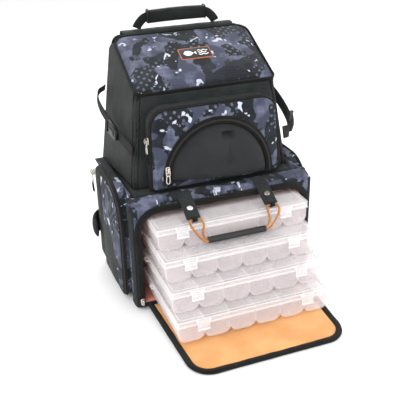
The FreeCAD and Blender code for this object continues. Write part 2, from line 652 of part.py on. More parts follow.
def zips():
    """The other zip sliders, and the link pulls that hang from them."""
    parts = {}
    foot = V(0, POCKET_Y, POCKET_LOW)

    def faced(shape, turn, place):
        return moved(turned(shape, V(0, 0, 0), Z_AXIS, turn), place.x, place.y, place.z)

    gusset = V(-POCKET_HALF_TOP - 2.3, POCKET_Y + FACE_THICK + 4.8, 296)
    parts["pocket_slider"] = turned(faced(slider(), -90, gusset), foot, X_AXIS, -POCKET_LEAN)
    parts["pocket_pull"] = turned(faced(pull_link(), -90, gusset), foot, X_AXIS, -POCKET_LEAN)
    lid_z = rim_z(LID_SLIDER_Y) - 8
    lid_side = V(side_x(LID_SLIDER_Y, lid_z) + 1.0, LID_SLIDER_Y, lid_z)
    right = V(SIDE_OUT + SIDE_COVER, SIDE_SLIDER_Y, SIDE_TOP - 16)
    left = V(-right.x, right.y, right.z)
    bay = faced(slider(), 0, V(-OPENING_HALF - 5, FRONT_Y - BINDING_THICK, 22))
    parts["zip_sliders"] = Part.makeCompound([faced(slider(), 90, lid_side), faced(slider(), 90, right),
                                              faced(slider(), -90, left), bay, mirrored(bay)])
    parts["lid_pull"] = faced(pull_link(), 90, lid_side)
    parts["side_pull_right"] = faced(pull_link(), 90, right)
    parts["side_pull_left"] = faced(pull_link(), -90, left)
    return parts


def main():
    os.makedirs("parts", exist_ok=True)
    for name in os.listdir("parts"):
        os.remove(os.path.join("parts", name))
    parts = {}
    parts.update(lower_body())
    parts.update(upper_body())
    parts.update(lid())
    lean = (UPPER_FRONT_RIM.y - UPPER_FOOT.y) / (UPPER_FRONT_RIM.z - UPPER_FOOT.z)
    top_y = UPPER_FOOT.y + lean * 300
    shell_front = along_x([(UPPER_FOOT.y, LOWER_TOP), (500, LOWER_TOP), (500, LOWER_TOP + 300),
                           (top_y, LOWER_TOP + 300)], -300, 300)
    parts.update(front_pocket(shell_front))
    side = side_pocket()
    parts["side_pockets"] = pair(side["side_pocket"])
    parts["side_cover_right"] = side["side_cover"]
    parts["side_cover_left"] = mirrored(side["side_cover"])
    parts.update(flap())
    parts.update(haul_handle())
    parts.update(trays())
    parts.update(pull_handle())
    parts.update(harness())
    parts.update(compression_straps())
    parts.update(zips())
    whole = FreeCAD.BoundBox()
    for name, shape in sorted(parts.items()):
        placed = moved(shape, 0, -CENTRE_Y, 0)
        if not placed.isValid():
            print("not valid:", name)
        whole.add(placed.BoundBox)
        placed.exportStep("parts/%s.step" % name)
    print(len(parts), "nodes; box", whole)


main()
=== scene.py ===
import math

import bmesh
import bpy
import numpy as np
from mathutils import Matrix, Vector, geometry, noise


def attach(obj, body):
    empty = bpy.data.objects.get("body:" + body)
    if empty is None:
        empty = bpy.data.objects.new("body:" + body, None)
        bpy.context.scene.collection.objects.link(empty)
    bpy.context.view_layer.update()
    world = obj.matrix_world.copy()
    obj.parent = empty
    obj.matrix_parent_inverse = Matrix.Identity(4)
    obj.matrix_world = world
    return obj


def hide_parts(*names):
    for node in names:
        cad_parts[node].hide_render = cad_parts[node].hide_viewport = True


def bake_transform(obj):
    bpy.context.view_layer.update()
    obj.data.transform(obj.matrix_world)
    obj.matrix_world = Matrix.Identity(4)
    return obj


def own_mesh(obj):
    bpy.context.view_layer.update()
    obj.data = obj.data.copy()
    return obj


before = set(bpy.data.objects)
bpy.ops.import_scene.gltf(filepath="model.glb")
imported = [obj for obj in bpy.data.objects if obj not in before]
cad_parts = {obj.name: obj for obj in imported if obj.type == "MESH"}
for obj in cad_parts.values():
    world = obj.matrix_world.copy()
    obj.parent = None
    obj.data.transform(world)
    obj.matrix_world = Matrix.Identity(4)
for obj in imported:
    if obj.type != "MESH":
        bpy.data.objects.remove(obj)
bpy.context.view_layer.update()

# The look of a fishing tackle backpack. Shapes are given in millimetres in the drawing the solid model
# uses, with y = 0 at the lowest tray's front, and at() moves them into the row frame.

MM = 0.001
WHITE = (1, 1, 1, 1)
MIDDLE_Y = 163.0
SIDES = ((-1, "left"), (1, "right"))

# Sizes shared with the solid model
LOWER_HALF = 166.0
BAY_HALF = 157.0
LOWER_TOP = 208.0
SILL_Z = 12.0
FRONT_Y = 134.0
BACK_Y = 346.0
OPENING_HALF = 151.0
OPENING_TOP = 187.0
OPENING_RADIUS = 33.0
UPPER_FOOT = (143.0, 186.0, 208.0)
FRONT_RIM = (124.0, 206.0, 362.0)
BACK_RIM = (126.0, 336.0, 428.0)
BACK_FACE = 364.0
LID_HALF = 126.0
POCKET_Y = 160.0
POCKET_LEAN = 3.4
POCKET_FOOT = (117.0, 210.0)
POCKET_TOP = (112.0, 346.0)
POCKET_CORNER = 30.0
FACE_THICK = 8.0
DOME_FOOT = 222.0
DOME_HALF = 88.0
DOME_HIGH = 92.0
DOME_DEEP = 30.0
DOME_TILT = 3.5
SIDE_OUT = 174.0
SIDE_COVER = 6.0
SIDE_FRONT = 162.0
SIDE_FOOT = 14.0
SIDE_TOP = 213.0
SIDE_SPLIT = 290.0
SIDE_BACK = 338.0
FLAP_TIP = -72.0
FLAP_TIP_HALF = 135.0
FLAP_SPREAD = 11.0
FLAP_RISE = 6.0
HANDLE_Y = 355.0
TAB_X = 70.0
GRIP_HALF = 52.0


def at(point):
    """A point of the millimetre drawing, in the row frame."""
    return Vector((point[0] * MM, (point[1] - MIDDLE_Y) * MM, point[2] * MM))


# ---------------------------------------------------------------- camera, floor and light

# Azimuth, elevation and roll are in degrees, and the lens and sensor in millimetres
CAMERA_ANGLES = (-20.6, 26.2, -1.2)
CAMERA_PLACE = (-415.6, -853.8, 713.2)
CAMERA_LENS = 63
CAMERA_SENSOR = 36


def place_camera():
    azimuth, elevation, roll = (math.radians(a) for a in CAMERA_ANGLES)
    back = Vector((math.sin(azimuth) * math.cos(elevation), -math.cos(azimuth) * math.cos(elevation),
                   math.sin(elevation)))
    right = Vector((math.cos(azimuth), math.sin(azimuth), 0))
    up = back.cross(right)
    turned_right = right * math.cos(roll) + up * math.sin(roll)
    turned_up = up * math.cos(roll) - right * math.sin(roll)
    data = bpy.data.cameras.new("camera")
    data.lens = CAMERA_LENS
    data.sensor_width = CAMERA_SENSOR
    camera = bpy.data.objects.new("camera", data)
    bpy.context.scene.collection.objects.link(camera)
    turn = Matrix((turned_right, turned_up, back)).transposed().to_4x4()
    camera.matrix_world = Matrix.Translation(at(CAMERA_PLACE)) @ turn
    bpy.context.scene.camera = camera


def area_light(name, place, target, size, power):
    data = bpy.data.lights.new(name, "AREA")
    data.shape = "DISK"
    data.size = size
    data.energy = power
    light = bpy.data.objects.new(name, data)
    bpy.context.scene.collection.objects.link(light)
    light.location = place
    light.rotation_euler = (Vector(target) - Vector(place)).to_track_quat("-Z", "Y").to_euler()


def studio():
    scene = bpy.context.scene
    scene.view_settings.view_transform = "Standard"
    world = bpy.data.worlds.new("studio")
    world.use_nodes = True
    world.node_tree.nodes["Background"].inputs["Color"].default_value = WHITE
    world.node_tree.nodes["Background"].inputs["Strength"].default_value = 1.0
    scene.world = world
    area_light("key", (-1.3, -1.6, 2.0), (0, 0, 0.2), 1.4, 42)
    area_light("fill", (1.8, -1.2, 1.1), (0, 0, 0.2), 1.6, 16)
    area_light("rim", (0.3, 1.6, 1.6), (0, 0, 0.3), 1.2, 18)
    mesh = bpy.data.meshes.new("floor")
    reach = 6.0
    mesh.from_pydata([(-reach, -reach, 0), (reach, -reach, 0), (reach, reach, 0), (-reach, reach, 0)], [],
                     [(0, 1, 2, 3)])
    floor = bpy.data.objects.new("floor", mesh)
    scene.collection.objects.link(floor)
    floor.location.z = -0.0004
    paint = Graph("floor_white")
    paint.finish(color=(0.93, 0.93, 0.93, 1), roughness=0.9)
    mesh.materials.append(paint.material)


# ---------------------------------------------------------------- materials

class Graph:
    """A material's node tree, with short calls for the nodes the materials use."""

    def __init__(self, name):
        self.material = bpy.data.materials.new(name)
        self.material.use_nodes = True
        self.tree = self.material.node_tree
        self.tree.nodes.clear()
        self.out = self.tree.nodes.new("ShaderNodeOutputMaterial")
        self.shader = self.tree.nodes.new("ShaderNodeBsdfPrincipled")
        self.tree.links.new(self.shader.outputs[0], self.out.inputs["Surface"])

    def put(self, node, name, value):
        if isinstance(value, bpy.types.NodeSocket):
            self.tree.links.new(value, node.inputs[name])
        else:
            node.inputs[name].default_value = value

    def math(self, operation, *values):
        node = self.tree.nodes.new("ShaderNodeMath")
        node.operation = operation
        for index, value in enumerate(values):
            self.put(node, index, value)
        return node.outputs[0]

    def plus(self, a, b):
        return self.math("ADD", a, b)

    def minus(self, a, b):
        return self.math("SUBTRACT", a, b)

    def times(self, a, b):
        return self.math("MULTIPLY", a, b)

    def grid_distance(self, axes, pitch, size):
        """How far a point is from the middle of its square in a grid, with a square counted as size wide."""
        squares = []
        for axis in axes:
            cell = self.minus(self.math("FRACT", self.math("DIVIDE", axis, pitch)), 0.5)
            squares.append(self.times(self.times(cell, size), self.times(cell, size)))
        return self.math("SQRT", self.plus(*squares))

    def place(self, turn=(0, 0, 0)):
        """The position on the piece in millimetres, turned so that its face lies in X and Y."""
        source = self.tree.nodes.new("ShaderNodeTexCoord")
        node = self.tree.nodes.new("ShaderNodeMapping")
        self.put(node, "Vector", source.outputs["Object"])
        node.inputs["Rotation"].default_value = [math.radians(a) for a in turn]
        node.inputs["Scale"].default_value = (1000, 1000, 1000)
        return node.outputs[0]

    def shifted(self, place, x, y, z=0.0):
        node = self.tree.nodes.new("ShaderNodeVectorMath")
        node.operation = "ADD"
        self.put(node, 0, place)
        node.inputs[1].default_value = (x, y, z)
        return node.outputs[0]

    def noise(self, place, size, detail=2.0, distortion=0.0):
        node = self.tree.nodes.new("ShaderNodeTexNoise")
        self.put(node, "Vector", place)
        node.inputs["Scale"].default_value = 1.0 / size
        node.inputs["Detail"].default_value = detail
        node.inputs["Distortion"].default_value = distortion
        return node.outputs[0]

    def cells(self, place, size):
        node = self.tree.nodes.new("ShaderNodeTexVoronoi")
        self.put(node, "Vector", place)
        node.inputs["Scale"].default_value = 1.0 / size
        return node.outputs["Distance"]

    def step(self, value, low, high):
        """0 below low, 1 above high and smooth between."""
        node = self.tree.nodes.new("ShaderNodeMapRange")
        node.interpolation_type = "SMOOTHSTEP"
        self.put(node, "Value", value)
        node.inputs["From Min"].default_value = low
        node.inputs["From Max"].default_value = high
        return node.outputs[0]

    def blend(self, share, a, b):
        node = self.tree.nodes.new("ShaderNodeMix")
        node.data_type = "RGBA"
        self.put(node, 0, share)
        self.put(node, 6, a)
        self.put(node, 7, b)
        return node.outputs[2]

    def parts(self, place):
        node = self.tree.nodes.new("ShaderNodeSeparateXYZ")
        self.put(node, 0, place)
        return node.outputs

    def weave(self, place, pitch):
        """A fine basket weave that shows on a face in any direction."""
        total = None
        for axis in self.parts(place):
            wave = self.math("SINE", self.times(axis, math.tau / pitch))
            total = wave if total is None else self.plus(total, wave)
        return total

    def bump(self, height, depth):
        node = self.tree.nodes.new("ShaderNodeBump")
        node.inputs["Distance"].default_value = depth * MM
        self.put(node, "Height", height)
        self.put(self.shader, "Normal", node.outputs[0])

    def finish(self, color=None, roughness=None, **sockets):
        if color is not None:
            self.put(self.shader, "Base Color", color)
        if roughness is not None:
            self.put(self.shader, "Roughness", roughness)
        for name, value in sockets.items():
            self.put(self.shader, name.replace("_", " "), value)
        return self.material


CLOTH_GLOSS = 0.2


def cloth_material(name, dark, light, pitch=1.3, depth=0.25, roughness=0.72, sheen=0.06, mottle=35.0):
    """Plain woven cloth with a weave, a slow change of tone and small wear marks."""
    g = Graph(name)
    place = g.place()
    tone = g.step(g.noise(place, mottle, 3.0), 0.35, 0.68)
    fibre = g.noise(place, 1.6, 2.0)
    share = g.plus(g.times(tone, 0.7), g.times(fibre, 0.3))
    height = g.plus(g.weave(place, pitch), g.times(fibre, 1.2))
    g.bump(height, depth)
    rough = g.plus(roughness - 0.08, g.times(fibre, 0.16))
    return g.finish(g.blend(share, dark, light), rough, Sheen_Weight=sheen, Sheen_Roughness=0.4,
                    Specular_IOR_Level=CLOTH_GLOSS)


def webbing_material(name, dark, light, turn):
    """Ribbed webbing: fine lengthwise ribs crossed by a herringbone."""
    g = Graph(name)
    place = g.place(turn)
    x, y, z = g.parts(place)
    rib = g.math("SINE", g.times(x, math.tau / 1.6))
    cross = g.math("SINE", g.times(g.plus(y, z), math.tau / 2.2))
    height = g.plus(rib, g.times(cross, 0.6))
    # The colour follows the rib height: painted shade in the grooves and a painted highlight on the ridges,
    # with random tone from the noise
    share = g.step(g.plus(height, g.noise(place, 6.0, 2.0)), -1.2, 2.2)
    g.bump(height, 0.3)
    return g.finish(g.blend(share, dark, light), 0.75, Sheen_Weight=0.04, Specular_IOR_Level=CLOTH_GLOSS)


def camouflage(name, turn, shift=(0.0, 0.0)):
    """Printed cloth: jagged charcoal blotches on slate, white splashes, rows of dots, rings and specks."""
    g = Graph(name)
    place = g.shifted(g.place(turn), shift[0], shift[1], 31.0)
    x, y, _ = g.parts(place)
    fine = g.minus(g.noise(place, 5.0, 3.0), 0.5)
    ragged = g.times(fine, 0.13)
    blotch = g.plus(g.noise(place, 40.0, 1.5, 0.6), ragged)
    dark = g.step(blotch, 0.485, 0.50)
    cloud = g.step(g.noise(g.shifted(place, 210, 40), 30.0, 2.0), 0.40, 0.62)
    slate = g.blend(cloud, (0.060, 0.068, 0.112, 1), (0.165, 0.182, 0.265, 1))
    radius = g.grid_distance((x, y), 8.5, 8.5)
    ring = g.minus(1.0, g.step(g.math("ABSOLUTE", g.minus(radius, 2.2)), 0.3, 0.75))
    ring_area = g.step(g.noise(g.shifted(place, -90, 130), 38.0, 1.0), 0.50, 0.53)
    ring_share = g.times(g.times(ring, ring_area), 0.6)
    slate = g.blend(ring_share, slate, (0.05, 0.055, 0.085, 1))
    speck = g.minus(1.0, g.step(g.cells(place, 5.5), 0.10, 0.18))
    slate = g.blend(g.times(speck, 0.75), slate, (0.03, 0.035, 0.05, 1))
    shade = g.step(g.noise(g.shifted(place, 33, -71), 24.0, 2.0), 0.4, 0.6)
    coal = g.blend(shade, (0.009, 0.012, 0.017, 1), (0.019, 0.024, 0.032, 1))
    dot_radius = g.grid_distance((g.plus(x, y), g.minus(x, y)), 14.5, 10.2)
    dot = g.minus(1.0, g.step(dot_radius, 2.0, 2.7))
    dot_area = g.step(g.noise(g.shifted(place, 150, -20), 46.0, 0.5), 0.52, 0.535)
    coal = g.blend(g.times(g.times(dot, dot_area), 0.85), coal, (0.15, 0.165, 0.21, 1))
    pale_speck = g.minus(1.0, g.step(g.cells(g.shifted(place, 7, 3), 11.0), 0.05, 0.085))
    coal = g.blend(pale_speck, coal, (0.42, 0.46, 0.52, 1))
    colour = g.blend(dark, slate, coal)
    splash = g.plus(g.noise(g.shifted(place, -40, 260), 19.0, 2.0, 0.8), g.times(fine, 0.10))
    colour = g.blend(g.step(splash, 0.66, 0.668), colour, (0.66, 0.70, 0.84, 1))
    g.bump(g.plus(g.weave(place, 1.2), g.times(g.noise(place, 1.8, 2.0), 1.2)), 0.22)
    return g.finish(colour, 0.68, Sheen_Weight=0.06, Sheen_Roughness=0.4, Specular_IOR_Level=CLOTH_GLOSS)


def plastic_material(name, color, roughness, grain=0.9, depth=0.05, **sockets):
    g = Graph(name)
    place = g.place()
    speckle = g.noise(place, grain, 2.0)
    g.bump(speckle, depth)
    rough = g.plus(roughness - 0.06, g.times(g.noise(place, 9.0, 3.0), 0.12))
    light = [min(1.0, c * 1.25) for c in color[:3]] + [1]
    return g.finish(g.blend(g.step(g.noise(place, 14.0, 2.0), 0.35, 0.7), color, light), rough, **sockets)


def frosted_material(name, tint, clear):
    """Frosted clear plastic: a faintly tinted panel whose moulded edges catch the light and read white."""
    g = Graph(name)
    place = g.place()
    facing = g.tree.nodes.new("ShaderNodeLayerWeight")
    facing.inputs["Blend"].default_value = 0.35
    soft = g.tree.nodes.new("ShaderNodeBevel")
    soft.samples = 4
    soft.inputs["Radius"].default_value = 1.3 * MM
    flat = g.tree.nodes.new("ShaderNodeNewGeometry")
    agree = g.tree.nodes.new("ShaderNodeVectorMath")
    agree.operation = "DOT_PRODUCT"
    g.tree.links.new(soft.outputs["Normal"], agree.inputs[0])
    g.tree.links.new(flat.outputs["Normal"], agree.inputs[1])
    # The two directions part where the bevel rounds a moulded edge
    rim = g.minus(1.0, g.step(agree.outputs["Value"], 0.80, 0.985))
    haze = g.times(g.noise(place, 16.0, 2.0), 0.10)
    cover = g.plus(g.times(facing.outputs["Facing"], 0.30), g.plus(clear, haze))
    cover = g.plus(cover, g.times(rim, 0.6))
    g.bump(g.noise(place, 3.5, 2.0), 0.12)
    cover = g.math("MINIMUM", cover, 0.95)
    return g.finish(g.blend(rim, tint, WHITE), 0.28, Alpha=cover, Coat_Weight=0.3, Coat_Roughness=0.12)


# ---------------------------------------------------------------- shape tools

def add_mesh(name, verts, faces, material, body):
    """A mesh object from millimetre points, faces outwards, riding on a body if one is named."""
    mesh = bpy.data.meshes.new(name)
    mesh.from_pydata([at(v) for v in verts], [], faces)
    work = bmesh.new()
    work.from_mesh(mesh)
    bmesh.ops.recalc_face_normals(work, faces=work.faces)
    work.to_mesh(mesh)
    work.free()
    mesh.materials.append(material)
    mesh.polygons.foreach_set("use_smooth", [True] * len(mesh.polygons))
    piece = bpy.data.objects.new(name, mesh)
    bpy.context.scene.collection.objects.link(piece)
    if body:
        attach(piece, body)
    return piece


def rounded(points, radii, closed=True):
    """A flat outline with each corner replaced by an arc of its own radius."""
    result = []
    count = len(points)
    for index in range(count):
        here = Vector(points[index])
        radius = radii[index]
        if radius <= 0 or (not closed and index in (0, count - 1)):
            result.append(here)
            continue
        back = Vector(points[index - 1]) - here
        on = Vector(points[(index + 1) % count]) - here
        half = back.angle(on) / 2
        reach = min(radius / math.tan(half), 0.49 * min(back.length, on.length))
        radius = reach * math.tan(half)
        centre = here + (back.normalized() + on.normalized()).normalized() * (radius / math.sin(half))
        first = here + back.normalized() * reach - centre
        sweep = first.angle_signed(here + on.normalized() * reach - centre)
        steps = max(2, int(abs(sweep) * radius / 3) + 1)
        for step in range(steps + 1):
            angle = -sweep * step / steps
            turn = Matrix.Rotation(angle, 2)
            result.append(centre + turn @ first)
    return result


def symmetric(half):
    """A closed outline from its right half. It starts at the left half's first point."""
    left = [(-u, v) for u, v in reversed(half)]
    return left[-1:] + half + left[:-1]


def distances(line):
    """How far along a line each of its points is."""
    return np.concatenate([[0], np.cumsum(np.linalg.norm(np.diff(line, axis=0), axis=1))])


def unit(rows):
    """Each vector, at a length of one."""
    return rows / np.maximum(np.linalg.norm(rows, axis=-1, keepdims=True), 1e-9)


def headings(line):
    """The direction of travel at each point of an open line."""
    return unit(np.gradient(line, axis=0))


def directions(ups, count):
    """One direction for each of count points, from one direction or from several spread along them."""
    ups = np.array(ups, dtype=float)
    if ups.ndim == 1:
        return np.tile(ups, (count, 1))
    marks = np.linspace(0, len(ups) - 1, count)
    return np.stack([np.interp(marks, np.arange(len(ups)), ups[:, k]) for k in range(3)], axis=1)


def resample(points, step, closed=False):
    """Points evenly spaced along a line, at about the step given."""
    line = np.array([list(p) for p in points], dtype=float)
    if closed:
        line = np.vstack([line, line[:1]])
    run = distances(line)
    count = max(2, int(round(run[-1] / step)) + 1)
    marks = np.linspace(0, run[-1], count)
    even = np.stack([np.interp(marks, run, line[:, axis]) for axis in range(line.shape[1])], axis=1)
    return even[:-1] if closed else even


def curve(points, step=3.0):
    """A smooth line through given points."""
    line = [Vector(p) for p in points]
    line = [line[0] * 2 - line[1]] + line + [line[-1] * 2 - line[-2]]
    result = []
    for a, b, c, d in zip(line, line[1:], line[2:], line[3:]):
        count = max(2, int((c - b).length / step))
        for index in range(count):
            t = index / count
            result.append(0.5 * ((2 * b) + (c - a) * t + (2 * a - 5 * b + 4 * c - d) * t * t
                                 + (3 * b - a - 3 * c + d) * t * t * t))
    result.append(line[-2])
    return resample(result, step)


def ripple(points, size, seed):
    """Smooth noise from -1 to 1 at each of the points."""
    shift = Vector((seed * 17.3, seed * 5.1, seed * 9.7))
    return np.array([noise.noise(Vector(p) / size + shift) for p in points])


def edge_distance(points, outline):
    """How far each flat point is from a closed outline."""
    best = np.full(len(points), 1e9)
    ends = np.roll(outline, -1, axis=0)
    for a, b in zip(outline, ends):
        span = b - a
        share = np.clip(((points - a) @ span) / max(span @ span, 1e-9), 0, 1)
        gap = np.linalg.norm(points - (a + share[:, None] * span), axis=1)
        best = np.minimum(best, gap)
    return best


def cushion(name, outline, place, material, body, thick, crown=0.0, reach=14.0, step=6.0, wrinkle=0.4,
            size=38.0, seed=1, pucker=0.35, shape=None, edge=3.0):
    """A closed pad over a flat outline. place(u, v, h) puts it in space; shape(u, v, d) adds height."""
    rim = resample(outline, step * 0.6, True)
    low = rim.min(axis=0)
    high = rim.max(axis=0)
    inner = [(u + (step / 2 if row % 2 else 0), v)
             for row, v in enumerate(np.arange(low[1], high[1], step * 0.87))
             for u in np.arange(low[0], high[0], step)]
    inner = np.array(inner)
    inner = inner[edge_distance(inner, rim) > step * 0.45]
    flat = np.vstack([rim, inner])
    loop = [(i, (i + 1) % len(rim)) for i in range(len(rim))]
    points, _, faces, source, _, _ = geometry.delaunay_2d_cdt([Vector(p) for p in flat], loop, [], 1, 1e-4)
    index_of = [s[0] if s else -1 for s in source]
    keep = np.array([list(p) for p in points])
    gap = edge_distance(keep, rim)
    top = thick * (0.35 + 0.65 * (1 - np.exp(-gap / edge))) + crown * (1 - np.exp(-(gap / reach) ** 1.5))
    flat3 = [(u, v, 0) for u, v in keep]
    top = top + wrinkle * ripple(flat3, size, seed) * (1 - np.exp(-gap / 9))
    top = top + pucker * ripple(flat3, 7.0, seed + 3) * np.exp(-gap / 6) * (1 - np.exp(-gap / 1.5))
    if shape:
        top = top + np.array([shape(u, v, d) for (u, v), d in zip(keep, gap)])
    count = len(keep)
    verts = [place(u, v, h) for (u, v), h in zip(keep, top)] + [place(u, v, 0.0) for u, v in keep]
    quads = [tuple(f) for f in faces] + [tuple(i + count for i in reversed(f)) for f in faces]
    where = {s: i for i, s in enumerate(index_of) if 0 <= s < len(rim)}
    for a, b in loop:
        if a in where and b in where:
            quads.append((where[a], where[b], where[b] + count, where[a] + count))
    return add_mesh(name, verts, quads, material, body)


def skin(name, grid, thick, material, body, swell=0.0, wrinkle=0.5, size=55.0, seed=1):
    """A wall of cloth through a grid of outer points, thickened inwards, with its edges closed."""
    grid = np.array([[list(p) for p in row] for row in grid], dtype=float)
    rows, columns = grid.shape[:2]
    normal = unit(np.cross(np.gradient(grid, axis=0), np.gradient(grid, axis=1)))
    u = np.sin(np.pi * np.linspace(0, 1, rows))[:, None]
    v = np.sin(np.pi * np.linspace(0, 1, columns))[None, :]
    lift = swell * np.sqrt(np.maximum(u * v, 0))
    bumps = ripple(grid.reshape(-1, 3), size, seed).reshape(rows, columns)
    bumps = bumps + 0.4 * ripple(grid.reshape(-1, 3), size / 3, seed + 5).reshape(rows, columns)
    lift = lift + wrinkle * bumps * np.minimum(1, 3 * u * v + 0.15)
    outer = grid + normal * lift[:, :, None]
    inner = grid - normal * thick + normal * lift[:, :, None] * 0.8
    verts = [tuple(p) for p in outer.reshape(-1, 3)] + [tuple(p) for p in inner.reshape(-1, 3)]
    count = rows * columns
    faces = []
    for i in range(rows - 1):
        for j in range(columns - 1):
            a = i * columns + j
            b = a + columns
            faces.append((a, a + 1, b + 1, b))
            faces.append((b + count, b + 1 + count, a + 1 + count, a + count))
    border = [(0, j) for j in range(columns)] + [(i, columns - 1) for i in range(1, rows)]
    border += [(rows - 1, j) for j in range(columns - 2, -1, -1)] + [(i, 0) for i in range(rows - 2, 0, -1)]
    ids = [i * columns + j for i, j in border]
    for a, b in zip(ids, ids[1:] + ids[:1]):
        faces.append((a, b, b + count, a + count))
    return add_mesh(name, verts, faces, material, body)


def sweep(name, line, ups, section, material, body, closed=False, scale=None):
    """A section of (side, up) offsets carried along a line; ups is one direction or one for each point."""
    line = np.array([list(p) for p in line], dtype=float)
    count = len(line)
    run = unit(np.roll(line, -1, axis=0) - np.roll(line, 1, axis=0)) if closed else headings(line)
    side = unit(np.cross(run, directions(ups, count)))
    up = np.cross(side, run)
    verts = []
    for i in range(count):
        grow = 1.0 if scale is None else scale[i]
        for a, b in section:
            verts.append(tuple(line[i] + side[i] * a * grow + up[i] * b * grow))
    n = len(section)
    faces = []
    for i in range(count if closed else count - 1):
        k = (i + 1) % count
        for j in range(n):
            m = (j + 1) % n
            faces.append((i * n + j, i * n + m, k * n + m, k * n + j))
    if not closed:
        faces.append(tuple(range(n)))
        faces.append(tuple(reversed(range((count - 1) * n, count * n))))
    return add_mesh(name, verts, faces, material, body)


def flat_section(width, thick):
    """The section of a strap: a flat band with rounded edges."""
    a = width / 2
    b = thick / 2
    return [(-a, -b * 0.4), (-a + b * 0.7, -b), (0, -b), (a - b * 0.7, -b), (a, -b * 0.4), (a, b * 0.4),
            (a - b * 0.7, b), (0, b), (-a + b * 0.7, b), (-a, b * 0.4)]


def round_section(radius, count=8, squash=1.0):
    """The section of a round cord or bar."""
    return [(radius * math.cos(math.tau * i / count), radius * squash * math.sin(math.tau * i / count))
            for i in range(count)]


def stitches(name, line, ups, material, body, lift=0.25, length=2.6, pitch=4.2):
    """A row of thread stitches standing a little proud of a surface."""
    points = resample(line, pitch)
    ups = directions(ups, len(points))
    verts = []
    faces = []
    for i in range(len(points) - 1):
        run = points[i + 1] - points[i]
        run = run / max(np.linalg.norm(run), 1e-9)
        up = ups[i] / np.linalg.norm(ups[i])
        side = np.cross(run, up) * 0.35
        start = points[i] + up * (lift - 0.2)
        base = len(verts)
        for share, rise in ((0.0, 0.0), (0.25, 0.35), (0.75, 0.35), (1.0, 0.0)):
            middle = start + run * length * share + up * rise
            verts += [tuple(middle - side), tuple(middle + side)]
        for k in range(3):
            a = base + 2 * k
            faces.append((a, a + 1, a + 3, a + 2))
    return add_mesh(name, verts, faces, material, body)


def coil_zip(name, line, ups, body, width, coil):
    """A closed coil zip: two woven tapes with a ridged coil standing between them."""
    line = np.array([list(p) for p in line], dtype=float)
    fine = resample(line, 1.0)
    fine_ups = directions(ups, len(fine))
    sweep(name, line, ups, flat_section(width, 0.9), TAPE, body)
    ridges = [1.0 if i % 2 else 0.72 for i in range(len(fine))]
    sweep(name + "_coil", fine + fine_ups * 0.7, fine_ups, round_section(coil / 2, 6, 0.5), COIL, body,
          scale=ridges)


def line_back(piece, outward, material):
    """Gives the faces that look away from the outside a plain lining."""
    piece.data.materials.append(material)
    outward = Vector(outward)
    for face in piece.data.polygons:
        if face.normal.dot(outward) < -0.5:
            face.material_index = 1


PUFF_PRESSURE = 4.0
PUFF_FRAMES = 20


def puff(piece, cap, voxel):
    """Lets a piece swell as filled cloth for a short while, no point of it moving further than cap."""
    scene = bpy.context.scene
    bpy.context.view_layer.objects.active = piece
    remesh = piece.modifiers.new("even", "REMESH")
    remesh.mode = "VOXEL"
    remesh.voxel_size = voxel * MM
    bpy.ops.object.modifier_apply(modifier="even")
    start = np.array([list(v.co) for v in piece.data.vertices])
    cloth = piece.modifiers.new("cloth", "CLOTH")
    cloth.settings.use_pressure = True
    cloth.settings.uniform_pressure_force = PUFF_PRESSURE
    cloth.settings.effector_weights.gravity = 0
    cloth.point_cache.frame_start = 1
    cloth.point_cache.frame_end = PUFF_FRAMES
    for number in range(1, PUFF_FRAMES + 1):
        scene.frame_set(number)
    shaped = piece.evaluated_get(bpy.context.evaluated_depsgraph_get()).to_mesh()
    moved = np.array([list(v.co) for v in shaped.vertices]) - start
    piece.modifiers.remove(cloth)
    length = np.linalg.norm(moved, axis=1, keepdims=True)
    moved *= np.minimum(1, cap * MM / np.maximum(length, 1e-9))
    for vertex, place in zip(piece.data.vertices, start + moved):
        vertex.co = place
    scene.frame_set(1)
    piece.data.polygons.foreach_set("use_smooth", [True] * len(piece.data.polygons))
    smooth = piece.modifiers.new("fine", "SUBSURF")
    smooth.levels = 1
    smooth.render_levels = 1
    return piece


def slab(name, outline, place, low, high, material, body, bevel=0.8):
    """A moulded plate: a flat outline between two heights, with softened edges."""
    count = len(outline)
    verts = [place(u, v, low) for u, v in outline] + [place(u, v, high) for u, v in outline]
    faces = [tuple(range(count)), tuple(range(2 * count - 1, count - 1, -1))]
    faces += [(i, (i + 1) % count, (i + 1) % count + count, i + count) for i in range(count)]
    piece = add_mesh(name, verts, faces, material, body)
    soften = piece.modifiers.new("soft", "BEVEL")
    soften.width = bevel * MM
    soften.segments = 3
    soften.limit_method = "ANGLE"
    soften.angle_limit = math.radians(40)
    return piece


def mirror(piece, name, body):
    """The same piece on the bag's other side."""
    mesh = piece.data.copy()
    mesh.transform(Matrix.Scale(-1, 4, (1, 0, 0)))
    mesh.flip_normals()
    twin = bpy.data.objects.new(name, mesh)
    bpy.context.scene.collection.objects.link(twin)
    for source in piece.modifiers:
        copy = twin.modifiers.new(source.name, source.type)
        for setting in ("width", "segments", "limit_method", "angle_limit", "levels", "render_levels"):
            if hasattr(source, setting):
                setattr(copy, setting, getattr(source, setting))
    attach(twin, body)
    return twin


# ---------------------------------------------------------------- the bag's own surfaces

def side_x(y, z):
    """Half the upper body's width at a depth and height, on its sloping side."""
    a = Vector(FRONT_RIM) - Vector(UPPER_FOOT)
    b = Vector(BACK_RIM) - Vector(UPPER_FOOT)
    normal = a.cross(b)
    return UPPER_FOOT[0] - (normal.y * (y - UPPER_FOOT[1]) + normal.z * (z - UPPER_FOOT[2])) / normal.x


def rim_z(y):
    """The height of the upper body's rim, which the lid lies on."""
    return FRONT_RIM[2] + (BACK_RIM[2] - FRONT_RIM[2]) / (BACK_RIM[1] - FRONT_RIM[1]) * (y - FRONT_RIM[1])


def shell_front(z):
    """How far back the upper body's front stands at a height."""
    return UPPER_FOOT[1] + (FRONT_RIM[1] - UPPER_FOOT[1]) * (z - LOWER_TOP) / (FRONT_RIM[2] - LOWER_TOP)


